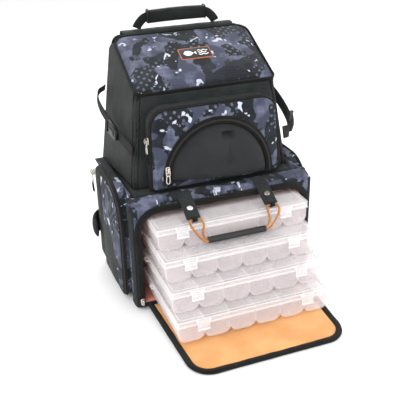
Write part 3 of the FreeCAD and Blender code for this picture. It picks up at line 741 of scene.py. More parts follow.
LID_SLOPE = Vector((0, BACK_RIM[1] - FRONT_RIM[1], BACK_RIM[2] - FRONT_RIM[2]))
LID_LENGTH = LID_SLOPE.length


def on_lid(x, along, height):
    """A point across the lid, up its slope and off its underside."""
    slope = LID_SLOPE.normalized()
    up = Vector((1, 0, 0)).cross(slope)
    return Vector((x, FRONT_RIM[1], FRONT_RIM[2])) + slope * along + up * height


LID_UP = on_lid(0, 0, 1) - on_lid(0, 0, 0)
LEAN = Matrix.Rotation(math.radians(-POCKET_LEAN), 3, "X")


def leaned(x, y, z):
    """A point of the front pocket, drawn upright and leaned back about its foot."""
    foot = Vector((0, POCKET_Y, POCKET_FOOT[1]))
    return foot + LEAN @ (Vector((x, y, z)) - foot)


def on_dome(x, y, z):
    """A point of the dome, which sits a little askew on the pocket's face."""
    foot = Vector((0, POCKET_Y, DOME_FOOT))
    turned = foot + Matrix.Rotation(math.radians(DOME_TILT), 3, "Y") @ (Vector((x, y, z)) - foot)
    return leaned(*turned)


def arch(half_low, half_top, low, top, radius):
    """From the left foot over two rounded top corners to the right foot."""
    return rounded([(-half_low, low), (-half_top, top), (half_top, top), (half_low, low)],
                   [0, radius, radius, 0], False)


def path_frame(points):
    """Returns place(distance, height), a point off the left of a bent flat line, and the line's length."""
    line = resample(points, 2.0)
    run = distances(line)
    along = headings(line)

    def place(distance, height):
        point = [np.interp(distance, run, line[:, k]) for k in (0, 1)]
        ahead = [np.interp(distance, run, along[:, k]) for k in (0, 1)]
        over = distance - min(max(distance, 0), run[-1])
        return (point[0] + ahead[0] * over - ahead[1] * height,
                point[1] + ahead[1] * over + ahead[0] * height)

    return place, run[-1]


# ---------------------------------------------------------------- materials in use

place_camera()
studio()

BLACK = cloth_material("black_cloth", (0.012, 0.016, 0.016, 1), (0.026, 0.032, 0.031, 1), roughness=0.62)
SOFT_BLACK = cloth_material("pad_cloth", (0.005, 0.006, 0.006, 1), (0.013, 0.014, 0.014, 1), 2.6, 0.5, 0.85)
SLEEVE = cloth_material("sleeve_weave", (0.005, 0.006, 0.006, 1), (0.013, 0.015, 0.015, 1), 1.1, 0.12, 0.7)
DOME = cloth_material("dome_cloth", (0.011, 0.012, 0.013, 1), (0.022, 0.024, 0.025, 1), 1.0, 0.12, 0.45,
                      0.05, 60.0)
TAPE = cloth_material("binding_tape", (0.003, 0.003, 0.003, 1), (0.009, 0.008, 0.007, 1), 1.6, 0.3, 0.8)
LINING = cloth_material("orange_lining", (0.78, 0.345, 0.10, 1), (0.97, 0.50, 0.19, 1), 0.9, 0.10, 0.5, 0.3,
                        60.0)
BAY = cloth_material("bay_lining", (0.72, 0.22, 0.15, 1), (0.90, 0.36, 0.27, 1), 0.9, 0.10, 0.55, 0.3, 60.0)
COIL = plastic_material("zip_coil", (0.010, 0.008, 0.007, 1), 0.5, Specular_IOR_Level=0.3)
WEB_X = webbing_material("webbing_upright", (0.004, 0.005, 0.005, 1), (0.016, 0.017, 0.018, 1), (0, 0, 0))
WEB_Y = webbing_material("webbing_sloped", (0.004, 0.005, 0.005, 1), (0.016, 0.017, 0.018, 1), (0, 40, 90))
BUCKLE = plastic_material("buckle_plastic", (0.006, 0.006, 0.007, 1), 0.4, Specular_IOR_Level=0.35)
THREAD = cloth_material("thread", (0.016, 0.018, 0.019, 1), (0.035, 0.037, 0.039, 1), 0.6, 0.1)
CAMO_FRONT = camouflage("camouflage_front", (-90, 0, 0))
CAMO_LID = camouflage("camouflage_lid", (-27, 0, 0), (60.0, -35.0))
CAMO_SIDE = camouflage("camouflage_side", (0, -90, 0), (15.0, 70.0))


def metal_material(name, color, roughness):
    g = Graph(name)
    place = g.place()
    scratch = g.noise(place, 1.5, 3.0)
    g.bump(scratch, 0.03)
    return g.finish(color, g.plus(roughness, g.times(g.noise(place, 4.0, 2.0), 0.15)),
                    Metallic=1.0)


STEEL = metal_material("zip_steel", (0.62, 0.58, 0.52, 1), 0.18)
CHROME = metal_material("snap_cream", (0.86, 0.84, 0.80, 1), 0.12)
DARK_SNAP = metal_material("snap_dark", (0.28, 0.25, 0.22, 1), 0.25)


# ---------------------------------------------------------------- upper body

def upper_shell():
    corner = 16.0
    droop_from = 324.0
    droop_bend = 26.0
    rows = []
    heights = np.linspace(0, 1, 26)

    def column(where):
        points = []
        for v in heights:
            z = LOWER_TOP
            for _ in range(6):
                x, y = where(z)
                droop = max(0.0, y - droop_from) ** 2 / droop_bend
                z = LOWER_TOP + v * (rim_z(y) - droop - LOWER_TOP)
            x, y = where(z)
            points.append((x, y, z))
        return points

    def wall(sign, share):
        def where(z):
            y = shell_front(z) + corner + share * (BACK_Y + 3 - shell_front(z) - corner)
            return sign * side_x(y, z), y
        return where

    def bend(sign, angle):
        def where(z):
            middle = shell_front(z) + corner
            x = side_x(middle, z) - corner + corner * math.cos(angle)
            return sign * x, middle - corner * math.sin(angle)
        return where

    def front(share):
        def where(z):
            reach = side_x(shell_front(z) + corner, z) - corner
            return reach * (2 * share - 1), shell_front(z)
        return where

    rows += [column(wall(-1, s)) for s in np.linspace(1, 0.04, 22)]
    rows += [column(bend(-1, a)) for a in np.linspace(0, math.pi / 2, 9)]
    rows += [column(front(s)) for s in np.linspace(0.03, 0.97, 34)]
    rows += [column(bend(1, a)) for a in np.linspace(math.pi / 2, 0, 9)]
    rows += [column(wall(1, s)) for s in np.linspace(0.04, 1, 22)]
    shell = skin("shell_cloth", rows, 3.5, BLACK, "bag", swell=3.0, wrinkle=1.9, size=60.0, seed=4)
    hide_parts("upper_shell")
    for sign, name in SIDES:
        for angle, part in ((0.35, "a"), (1.05, "b")):
            line = np.array(column(bend(sign, angle)))
            out = np.array([sign * math.cos(angle), -math.sin(angle), 0.05])
            sweep("corner_piping_%s_%s" % (name, part), line + out * 1.3, out, round_section(1.5), TAPE,
                  "bag")
        line = np.array(column(bend(sign, 0.7)))
        out = np.array([sign * math.cos(0.7), -math.sin(0.7), 0.05])
        coil_zip("corner_zip_%s" % name, line + out * 1.0, out, "bag", 7.0, 4.0)


def lid():
    outline = rounded(symmetric([(LID_HALF, 0), (LID_HALF, LID_LENGTH)]), [9, 9, 22, 22])

    def place(u, v, h):
        return on_lid(u * (1 - 0.004 * h), v, 0.8 + h)

    pad = cushion("lid_cloth", outline, place, CAMO_LID, "lid", thick=9.0, crown=8.0, reach=26.0, step=5.0,
                  wrinkle=0.8, size=45.0, seed=3)
    line_back(pad, LID_UP, BLACK)
    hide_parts("lid")
    rim = resample(outline, 3.0, True)
    lower = [on_lid(u, v, 2.2) for u, v in rim]
    sweep("lid_band", lower, LID_UP, [(-0.8, -1.0), (0.8, -1.0), (1.0, 0), (0.8, 1.6), (-0.8, 1.6)], TAPE,
          "lid", closed=True)
    upper = [on_lid(u * 0.995, v, 6.0) for u, v in rim]
    sweep("lid_piping", upper, LID_UP, round_section(1.7), TAPE, "lid", closed=True)
    inset = resample([(u * 0.965, 4 + v * 0.95) for u, v in outline], 3.0, True)
    line = [on_lid(u, v, 12.6) for u, v in inset]
    stitches("lid_stitches", line + line[:1], LID_UP, THREAD, "lid")


def badge():
    """A stitched rubber badge with a plain wave mark."""
    low = LID_LENGTH * 0.38
    high = low + 28
    half = 29
    border = 1.8
    outline = rounded(symmetric([(half, low), (half, high)]), [2.5] * 4)
    red = plastic_material("badge_border", (0.36, 0.10, 0.045, 1), 0.5)
    black = plastic_material("badge_field", (0.012, 0.012, 0.013, 1), 0.55)
    white = plastic_material("badge_mark", (0.78, 0.78, 0.76, 1), 0.5)
    base = slab("badge_base", outline, on_lid, 16.6, 18.4, red, "lid", 0.5)
    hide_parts("lid_badge")
    inner = rounded(symmetric([(half - border, low + border), (half - border, high - border)]), [2] * 4)
    slab("badge_face", inner, on_lid, 18.2, 18.8, black, "lid", 0.2)
    middle = low + 14
    fish = curve([(-22, middle), (-17, middle + 5.5), (-9, middle + 5), (-3, middle), (1, middle + 4),
                  (1, middle - 4), (-3, middle), (-9, middle - 5), (-17, middle - 5.5), (-22, middle)], 1.0)
    slab("badge_fish", [tuple(p) for p in fish[:-1]], on_lid, 18.7, 19.2, white, "lid", 0.15)
    for row, (rise, reach) in enumerate(((5.0, 23), (0.0, 20), (-5.0, 23))):
        wave = [(5 + t * (reach - 5) / 12, middle + rise + 1.1 * math.sin(t * 1.05 + row))
                for t in range(13)]
        line = [on_lid(u, v, 19.0) for u, v in wave]
        sweep("badge_wave%d" % row, line, LID_UP, flat_section(1.7, 0.5), white, "lid")


def front_pocket():
    face_back = POCKET_Y + FACE_THICK
    outline = arch(POCKET_FOOT[0], POCKET_TOP[0], POCKET_FOOT[1], POCKET_TOP[1], POCKET_CORNER)
    around = resample(outline, 4.0)
    rows = []
    for x, z in around:
        near = leaned(x, face_back + 0.8, z)
        far = Vector((near.x, shell_front(near.z) + 2.5, near.z))
        rows.append([tuple(near.lerp(far, share)) for share in np.linspace(0, 1, 7)])
    gusset = skin("gusset_cloth", rows, 4.0, BLACK, "bag", swell=1.2, wrinkle=0.5, size=30.0, seed=6)
    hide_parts("pocket_gusset")
    ups = [tuple(LEAN @ Vector((-dz, 0, dx))) for dx, dz in headings(around)]
    line = [leaned(x, face_back + 5.2, z) for x, z in around]
    line = [p + Vector(u) * 1.1 for p, u in zip(line, ups)]
    coil_zip("pocket_zip", line, ups, "bag", 9.0, 5.0)
    closed = rounded(symmetric([POCKET_FOOT, POCKET_TOP]), [8, 8, POCKET_CORNER, POCKET_CORNER])

    def place(u, v, h):
        return leaned(u, face_back - h, v)

    face = cushion("pocket_cloth", closed, place, CAMO_FRONT, "pocket_panel", thick=7.5, crown=2.5,
                   reach=16.0, step=5.0, wrinkle=0.6, size=40.0, seed=8)
    line_back(face, (0, -1, 0), BLACK)
    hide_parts("pocket_face")
    edge = resample(closed, 3.0, True)
    sweep("pocket_piping", [leaned(x, face_back - 2.0, z) for x, z in edge], (0, -1, 0), round_section(2.0),
          TAPE, "pocket_panel", closed=True)


def dome():
    steps = 60
    dent_at = (8, 297)
    dent_deep = 11.0
    crease_deep = 2.2

    def half_oval(half, high):
        return [(-half * math.cos(math.pi * i / steps), DOME_FOOT + high * math.sin(math.pi * i / steps))
                for i in range(steps + 1)]

    def shape(u, v, d):
        round_part = max(0.0, 1 - (u / DOME_HALF) ** 2 - ((v - DOME_FOOT) / DOME_HIGH) ** 2) ** 0.5
        foot = max(0.0, 1 - math.exp(-(v - DOME_FOOT + 0.5) / 5.0)) ** 0.6
        dent = dent_deep * math.exp(-(((u - dent_at[0]) / 10) ** 4) - (((v - dent_at[1]) / 5) ** 4))
        fade = max(0.0, min(1.0, (dent_at[1] + 1 - v) / 20)) * (v > 250)
        crease = crease_deep * math.exp(-((u - dent_at[0] - 1) / 3.0) ** 2) * fade
        return (DOME_DEEP - 2) * round_part * foot - dent - crease

    def place(u, v, h):
        return on_dome(u, POCKET_Y - 0.8 - h, v)

    cover = cushion("dome_cloth", half_oval(DOME_HALF, DOME_HIGH), place, DOME, "dome", thick=1.6,
                    crown=0.0, reach=10.0, step=3.6, wrinkle=0.35, size=50.0, seed=9, pucker=0.1,
                    shape=shape)
    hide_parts("dome_cover")
    middle = half_oval(DOME_HALF + 5.8, DOME_HIGH + 5.8)
    line = [on_dome(x, POCKET_Y - 3.2, z) for x, z in middle]
    band = sweep("dome_band", line, (0, -1, 0.06), flat_section(11.6, 5.5), TAPE, "pocket_panel")
    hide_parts("dome_zip")
    coil_zip("dome_coil", [on_dome(x, POCKET_Y - 6.3, z) for x, z in middle], (0, -1, 0.06), "pocket_panel",
             10.0, 5.0)
    for name, grow in (("inner", 2.6), ("outer", 11.2)):
        ring = half_oval(DOME_HALF + grow, DOME_HIGH + grow)
        sweep("dome_piping_%s" % name, [on_dome(x, POCKET_Y - 4.6, z) for x, z in ring], (0, -1, 0.06),
              round_section(1.5), TAPE, "pocket_panel")


# ---------------------------------------------------------------- lower body

def opening(grow):
    """The bay opening's outline, grown by an amount all round."""
    half = OPENING_HALF + grow
    return arch(half, half, SILL_Z, OPENING_TOP + grow, OPENING_RADIUS + grow)


def front_frame():
    """The printed cloth round the opening: up each side, over the top and back onto the pocket's shelf."""
    place_profile, _ = path_frame([(138, SILL_Z), (138, 190), (139, 195), (142, 198), (147, 200.6),
                                   (160, 206.5)])
    top = 206.0
    inner = [(x, z - SILL_Z) for x, z in opening(0)]
    outer = rounded([(-LOWER_HALF, 0), (-LOWER_HALF, top), (LOWER_HALF, top), (LOWER_HALF, 0)],
                    [0, 6, 6, 0], False)
    outline = [tuple(p) for p in outer] + [tuple(p) for p in reversed(inner)]

    def place(u, s, h):
        y, z = place_profile(s, h)
        return (u, y, z)

    cloth = cushion("frame_cloth", outline, place, CAMO_FRONT, "bag", thick=4.0, crown=1.6, reach=8.0,
                    step=5.0, wrinkle=0.7, size=35.0, seed=11)
    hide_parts("front_frame")
    path = [tuple(p) for p in resample(opening(5.2), 4.0)]
    wobble = ripple([(x, 0, z) for x, z in path], 24.0, 12)
    line = [(x, 131.2 - 0.8 * w, z) for (x, z), w in zip(path, wobble)]
    scale = [1 + 0.10 * w for w in wobble]
    section = [(-5.6, 2.0), (-5.9, 0), (-5.2, -2.6), (5.2, -2.6), (5.9, 0.4), (4.8, 2.6), (2.0, 3.3),
               (-2.5, 3.1)]
    band = sweep("opening_band", line, (0, -1, 0), section, TAPE, "bag", scale=scale)
    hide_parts("opening_binding")
    inner_edge = resample(arch(OPENING_HALF + 0.6, OPENING_HALF + 0.6, SILL_Z, OPENING_TOP + 0.6,
                               OPENING_RADIUS), 4.0)
    sweep("opening_coil", [(x, 134.5, z) for x, z in inner_edge], (0, -1, 0), round_section(1.9, 6), COIL,
          "bag")
    stitches("opening_stitches", [(x, 128.6, z) for x, z in opening(9.6)], (0, -1, 0), THREAD, "bag")


def bay():
    half = OPENING_HALF - 0.6
    plan = rounded([(-half, 138.5), (-half, BACK_Y - 6), (half, BACK_Y - 6), (half, 138.5)], [0, 14, 14, 0],
                   False)
    walls = [[(x, y, z) for z in np.linspace(14, 189, 20)] for x, y in resample(plan, 9.0)]
    cloth = skin("bay_walls", walls, 1.2, BAY, "bag", swell=0.0, wrinkle=1.0, size=40.0, seed=13)
    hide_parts("bay_lining")
    floor = [[(x, y, 13.2) for y in np.linspace(138, BACK_Y - 6, 20)] for x in np.linspace(-half, half, 26)]
    skin("bay_floor", floor, 1.0, BAY, "bag", swell=0.0, wrinkle=0.4, size=40.0, seed=14)
    roof = [[(x, y, 189.0) for y in np.linspace(BACK_Y - 6, 140, 20)] for x in np.linspace(-half, half, 26)]
    skin("bay_roof", roof, 1.0, BAY, "bag", swell=0.0, wrinkle=0.6, size=40.0, seed=15)
    outline = symmetric([(150, 163), (150, 345)])
    ceiling = cushion("shelf_pad", outline, lambda u, v, h: (u, v, 194 + h), BLACK, "bag", thick=12.0,
                      crown=1.0, reach=20.0, step=9.0, wrinkle=0.6)
    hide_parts("bay_ceiling")


def lower_sides():
    plan = rounded([(LOWER_HALF - 3, 137.5), (LOWER_HALF, 139), (LOWER_HALF, 160.5), (BAY_HALF, 163),
                    (BAY_HALF, BACK_Y)], [0, 3, 4, 4, 0], False)
    rows = []
    for x, y in resample(plan, 4.0):
        top = min(LOWER_TOP, 196 + (y - 134) * 0.5)
        rows.append([(x, y, z) for z in np.linspace(SILL_Z, top, 26)])
    right = skin("side_wall_right", rows, 3.0, CAMO_SIDE, "bag", swell=0.0, wrinkle=0.6, size=40.0, seed=16)
    left = mirror(right, "side_wall_left", "bag")
    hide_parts("lower_sides")
    for sign, name in reversed(SIDES):
        seam = [(sign * 164.6, 136.0, z) for z in np.linspace(13, 197, 40)]
        sweep("corner_gusset_%s" % name, seam, (sign * 0.7, -0.7, 0), flat_section(7.5, 3.4), BLACK, "bag")
        sweep("corner_cord_%s" % name, [(x + sign * 1.9, y + 3.4, z) for x, y, z in seam], (sign, 0, 0),
              round_section(1.6), TAPE, "bag")
    base = rounded([(-LOWER_HALF, FRONT_Y), (LOWER_HALF, FRONT_Y), (LOWER_HALF, 162), (BAY_HALF, 166),
                    (BAY_HALF, BACK_Y), (-BAY_HALF, BACK_Y), (-BAY_HALF, 166), (-LOWER_HALF, 162)],
                   [8, 8, 3, 3, 10, 10, 3, 3])
    floor = cushion("base_cloth", base, lambda u, v, h: (u, v, SILL_Z - h), BLACK, "bag", thick=11.6,
                    crown=0.0, reach=10.0, step=9.0, wrinkle=0.3)
    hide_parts("bottom_panel")


def side_outline(inset, end):
    """A side pocket's outline seen from its side, drawn in by an inset and cut off at a depth."""
    front = SIDE_FRONT + inset
    low = SIDE_FOOT + inset
    high = SIDE_TOP - inset
    return rounded([(front, low), (end, low), (end, high), (front, high)], [20, 2, 2, 62])


def side_pockets():
    edge = rounded([(SIDE_BACK, SIDE_TOP), (SIDE_FRONT, SIDE_TOP), (SIDE_FRONT, SIDE_FOOT),
                    (SIDE_BACK, SIDE_FOOT)], [0, 62, 20, 0], False)
    rows = [[(x, y, z) for x in np.linspace(BAY_HALF - 0.5, SIDE_OUT, 6)] for y, z in resample(edge, 5.0)]
    gusset = skin("side_gusset_right", rows, 2.5, CAMO_SIDE, "bag", swell=1.0, wrinkle=0.6, size=30.0,
                  seed=17)
    mirror(gusset, "side_gusset_left", "bag")
    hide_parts("side_pockets")
    split = SIDE_SPLIT + 0.8
    rear = rounded([(split, SIDE_FOOT), (SIDE_BACK, SIDE_FOOT), (SIDE_BACK, 205), (split, 205)],
                   [3, 10, 10, 3])
    block = cushion("side_rear_right", rear, lambda u, v, h: (BAY_HALF + h, u, v), BLACK, "bag", thick=20.0,
                    crown=2.6, reach=10.0, step=5.0, wrinkle=0.7, size=30.0, seed=18)
    mirror(block, "side_rear_left", "bag")
    cover = cushion("side_cover_cloth_right", side_outline(1.5, SIDE_SPLIT - 0.6),
                    lambda u, v, h: (SIDE_OUT + 0.7 + h, u, v), CAMO_SIDE, "right_cover", thick=4.5,
                    crown=3.5, reach=20.0, step=5.0, wrinkle=1.0, size=40.0, seed=19)
    line_back(cover, (1, 0, 0), BLACK)
    twin = mirror(cover, "side_cover_cloth_left", "left_cover")
    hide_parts("side_cover_right")
    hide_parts("side_cover_left")
    front = SIDE_FRONT + 1.5
    low = SIDE_FOOT + 1.5
    high = SIDE_TOP - 1.5
    run = rounded([(SIDE_SPLIT, high), (front, high), (front, low), (SIDE_SPLIT - 20, low)], [0, 61, 19, 0],
                  False)
    run = resample(run, 4.0)
    for sign, name in reversed(SIDES):
        ups = [(sign * 0.75, dz * 0.66, -dy * 0.66) for dy, dz in headings(run)]
        line = [(sign * (SIDE_OUT + 0.6) + up[0] * 1.2, y + up[1] * 1.2, z + up[2] * 1.2)
                for (y, z), up in zip(run, ups)]
        coil_zip("side_zip_%s" % name, line, ups, "bag", 11.0, 5.0)
    pouch = rounded([(186, 17), (288, 17), (288, 132), (196, 118)], [26, 2, 4, 30])

    def gather(u, v, d):
        rim = max(0.0, 1 - abs(v - 122 - (u - 196) * 0.12) / 16)
        return 1.6 * rim * math.sin(u * 0.62 + 0.8 * math.sin(u * 0.17))

    bag = cushion("bottle_pouch_right", pouch, lambda u, v, h: (SIDE_OUT + 4.5 + h, u, v), BLACK,
                  "right_cover", thick=3.0, crown=4.6, reach=24.0, step=4.0, wrinkle=1.4, size=30.0,
                  seed=20, pucker=0.5, shape=gather)
    mirror(bag, "bottle_pouch_left", "left_cover")


# ---------------------------------------------------------------- flap

def flap():
    def half(y):
        return FLAP_TIP_HALF + FLAP_SPREAD * (y - FLAP_TIP) / (FRONT_Y - FLAP_TIP)

    def rise(y):
        return FLAP_RISE * (y - FLAP_TIP) / (FRONT_Y - FLAP_TIP)

    def corners(inset):
        root = half(FRONT_Y) - inset
        tip = FLAP_TIP_HALF - inset
        return [(-root, FRONT_Y - 1), (-tip, FLAP_TIP + inset), (tip, FLAP_TIP + inset), (root, FRONT_Y - 1)]

    edge = rounded(corners(0), [0, 34, 34, 0], False)
    inner = rounded(corners(6), [0, 29, 29, 0])

    def folds(u, v, d):
        soft = 2.4 * noise.noise(Vector((u / 52, v / 30, 3.3)))
        soft += 1.3 * noise.noise(Vector((u / 20, v / 34, 8.1)))
        near_edge = math.exp(-d / 13) * (1 - math.exp(-d / 3))
        drawn = 1.5 * math.sin(u * 0.26 + 2.0 * math.sin(u * 0.05)) * near_edge
        return soft * (1 - math.exp(-d / 12)) + drawn

    def place(u, v, h):
        return (u, v, rise(v) + 0.6 + h)

    panel = cushion("flap_cloth", inner, place, LINING, None, thick=3.6, crown=0.9, reach=30.0, step=4.0,
                    wrinkle=0.3, size=40.0, seed=21, pucker=0.5, shape=folds)
    line_back(panel, (0, 0, 1), BLACK)
    path = resample(edge, 4.0)
    path = [(x * (1 - 5.2 / 140), y + 5.2 * max(0.0, min(1.0, (10 - y) / 60))) for x, y in path]
    wobble = ripple([(x, y, 0) for x, y in path], 16.0, 22)
    line = [(x, y, rise(y) + 3.3 + 0.25 * w) for (x, y), w in zip(path, wobble)]
    section = [(-5.4, 0.2), (-4.6, 2.1), (-1.8, 3.0), (2.0, 2.9), (4.8, 2.0), (5.6, 0), (4.6, -2.0),
               (0, -2.7), (-4.6, -2.0)]
    band = sweep("flap_band", line, (0, 0, 1), section, TAPE, None, scale=[1 + 0.09 * w for w in wobble])
    for piece in (panel, band):
        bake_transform(piece)
    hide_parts("flap_root", "flap_end")
    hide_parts("flap_end_binding")


# ---------------------------------------------------------------- haul handle, harness and back

def haul_handle():
    line = [(x, HANDLE_Y + 0.5 * math.sin(x / 30), 458 + 1.6 * math.cos(x / 40))
            for x in np.linspace(-55, 55, 34)]
    section = [tuple(p) for p in rounded(symmetric([(9.2, -11.2), (8.2, 11.2)]), [5, 5, 6, 6])]
    bumps = ripple(line, 14.0, 23)
    sleeve = sweep("sleeve_cloth", line, (0, 0, 1), section, SLEEVE, "haul_loop",
                   scale=[1 + 0.012 * b for b in bumps])
    puff(sleeve, cap=1.5, voxel=2.6)
    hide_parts("haul_sleeve")
    for x in (-53.5, 53.5):
        ring = [(x, HANDLE_Y + a * 1.03, 459.4 + b * 1.03) for a, b in section]
        sweep("sleeve_hem_%s" % ("left" if x < 0 else "right"), ring, (1, 0, 0), round_section(1.0, 6), TAPE,
              "haul_loop", closed=True)
    path = curve([(75, HANDLE_Y, 440.3), (72.5, HANDLE_Y, 445), (67, HANDLE_Y, 451.5), (60, HANDLE_Y, 457),
                  (52, HANDLE_Y, 459.2), (40, HANDLE_Y, 459.5)], 2.0)
    right = sweep("haul_web_right", path, (0, -1, 0), flat_section(15.5, 3.6), WEB_X, "haul_loop")
    mirror(right, "haul_web_left", "haul_loop")
    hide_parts("haul_strap")
    over = curve([(337.5, 430.5), (340, 436), (346, 438.4), (357, 438.2), (363, 434), (364, 426)], 3)
    band = [[(x, y, z) for y, z in over] for x in np.linspace(-104, 104, 50)]
    top = skin("top_band_cloth", band, 3.0, BLACK, "bag", swell=0.0, wrinkle=0.6, size=25.0, seed=24)
    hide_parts("top_band")


def back_panel():
    outline = rounded(symmetric([(152, 1), (152, 208), (122, 433)]), [12, 12, 20, 16, 16, 20])

    def channels(u, v, d):
        middle = 4.5 * math.exp(-(u / 9) ** 4)
        bars = sum(2.5 * math.exp(-((v - z) / 4.0) ** 2) for z in range(150, 371, 55)) * (abs(u) < 120)
        return -(middle + bars) * (1 - math.exp(-d / 8))

    pad = cushion("back_pad", outline, lambda u, v, h: (u, BACK_Y + h, v), SOFT_BLACK, "bag", thick=13.0,
                  crown=4.0, reach=16.0, step=5.5, wrinkle=0.5, size=45.0, seed=25, pucker=0.3,
                  shape=channels)
    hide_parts("back_panel")
    low = rounded(symmetric([(147, 41), (147, 97)]), [20] * 4)
    lumbar = cushion("lumbar_cloth", low, lambda u, v, h: (u, BACK_FACE + h - 1, v), SOFT_BLACK, "bag",
                     thick=8.5, crown=3.4, reach=14.0, step=5.0, wrinkle=0.4, size=40.0, seed=26)
    puff(lumbar, cap=2.5, voxel=4.0)
    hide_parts("lumbar_pad")


def hip_wings():
    place_plan, length = path_frame([(152.8, 353), (166, 353.4), (175, 351), (181.5, 344), (183.4, 330),
                                     (183.2, 305)])
    outline = rounded([(0, 48), (length - 2, 60), (length - 2, 92), (0, 106)], [4, 12, 14, 4])

    def place(u, v, h):
        x, y = place_plan(u, h)
        return (x, y, v)

    right = cushion("wing_right", outline, place, SOFT_BLACK, "right_wing", thick=5.0, crown=3.4,
                    reach=12.0, step=4.0, wrinkle=0.6, size=25.0, seed=27)
    puff(right, cap=2.0, voxel=3.0)
    left = mirror(right, "wing_left", "left_wing")
    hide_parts("hip_wing_right")
    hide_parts("hip_wing_left")


def harness():
    place_side, _ = path_frame([(364.6, 424), (365, 404), (372, 370), (382.4, 312), (381.5, 262), (378, 220),
                                     (372, 180), (367.5, 150)])
    outline = rounded(symmetric([(31.5, 2), (31.5, 150), (21, 268)]), [6, 6, 60, 14, 14, 60])

    def place(u, v, h):
        y, z = place_side(v, h)
        return (74 + u, y, z)

    right = cushion("shoulder_right", outline, place, SOFT_BLACK, "bag", thick=9.5, crown=3.0, reach=10.0,
                    step=4.5, wrinkle=0.5, size=35.0, seed=28)
    puff(right, cap=2.5, voxel=4.0)
    left = mirror(right, "shoulder_left", "bag")
    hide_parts("shoulder_straps")
    middle = [place(0, v, 13.0) for v in np.linspace(20, 262, 70)]
    web = sweep("shoulder_web_right", middle, (0, 1, 0), flat_section(22, 1.6), WEB_X, "bag")
    mirror(web, "shoulder_web_left", "bag")
    rim = resample(outline, 3.0, True)
    piping = sweep("shoulder_piping_right", [place(u, v, 4.5) for u, v in rim], (0, 1, 0),
                   round_section(1.8), TAPE, "bag", closed=True)
    mirror(piping, "shoulder_piping_left", "bag")
    lower = curve([(80, 371, 146.5), (80.5, 372.4, 128), (81.5, 373, 110), (92, 378.4, 98), (110, 378.8, 66),
                   (125, 378.2, 38), (126, 367, 25), (126, 365.2, 15)], 3.0)
    lower_web = sweep("lower_web_right", lower, (0, 1, 0), flat_section(21.5, 2.0), WEB_X, "bag")
    mirror(lower_web, "lower_web_left", "bag")
    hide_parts("strap_webbing")
    frame_line = rounded([(67.5, 112), (94.5, 112), (94.5, 126), (67.5, 126)], [3] * 4)
    line = [(x, 373, z) for x, z in resample(frame_line, 1.5, True)]
    lock = sweep("ladder_lock_right", line, (0, 1, 0), [(-1.6, -3.6), (1.6, -3.6), (1.6, 3.6), (-1.6, 3.6)],
                 BUCKLE, "bag", closed=True)
    bar = sweep("lock_bar_right", [(x, 376, 119) for x in np.linspace(67, 95, 8)], (0, 1, 0),
                round_section(1.8), BUCKLE, "bag")
    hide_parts("harness_buckles")
    mirror(lock, "ladder_lock_left", "bag")
    mirror(bar, "lock_bar_left", "bag")
    chest = curve([(-44, 390, 328), (-24, 389.2, 328), (0, 389, 328), (24, 389.2, 328), (44, 390, 328)], 2.0)
    strap = sweep("chest_web", chest, (0, 1, 0), flat_section(19.5, 1.8), WEB_X, "bag")
    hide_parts("sternum_strap")
    clip = rounded(symmetric([(20, 315), (20, 341)]), [5] * 4)
    slab("chest_clip", clip, lambda u, v, h: (u, h, v), 384.5, 394, BUCKLE, "bag", 2.0)
    groove = rounded([(-9, 319), (13, 319), (13, 337), (-9, 337)], [3] * 4)
    slab("chest_prong", groove, lambda u, v, h: (u, h, v), 393, 395.6, BUCKLE, "bag", 1.0)


# ---------------------------------------------------------------- side straps and their buckles

STRAP_ROUTES = {
    "left": [(-142, 347, 343), (-157, 341, 335), (-160, 322, 318), (-153, 281, 298), (-147.5, 238, 286),
             (-138.5, 197, 273)],
    "right": [(142, 347, 343), (160, 338, 326), (173, 296, 304), (175, 246, 278), (162, 212, 263),
              (140, 194, 266)],
}


def side_straps():
    for name, sign in (("left", -1), ("right", 1)):
        route = STRAP_ROUTES[name]
        line = curve(route, 3.0)
        sweep("side_web_%s" % name, line, (sign, 0.1, 0), flat_section(22, 2.0), WEB_Y, "bag")
        a = Vector(route[3])
        b = Vector(route[4])
        run = (b - a).normalized()
        out = Vector((sign, 0, 0))
        side = run.cross(out).normalized()
        middle = (a + b) / 2

        def place(u, v, h):
            return middle + run * u + side * v + out * (1.6 + h)

        body = rounded([(-19, -12.5), (8, -12.5), (19, -9), (19, 9), (8, 12.5), (-19, 12.5)],
                       [3, 4, 3, 3, 4, 3])
        clip = slab("side_clip_%s" % name, body, place, 0.0, 6.2, BUCKLE, "bag", 1.4)
        slot = rounded([(-8, -5.5), (12, -5.5), (12, 5.5), (-8, 5.5)], [2.5] * 4)
        slab("side_prong_%s" % name, slot, place, 5.6, 7.4, BUCKLE, "bag", 0.8)
        bar = [place(-15.5, v, 7.0) for v in np.linspace(-11, 11, 8)]
        sweep("side_bar_%s" % name, bar, out, round_section(1.5), BUCKLE, "bag")
        if name == "left":
            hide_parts("compression_buckles")
    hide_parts("compression_straps")


# ---------------------------------------------------------------- zip sliders and pulls

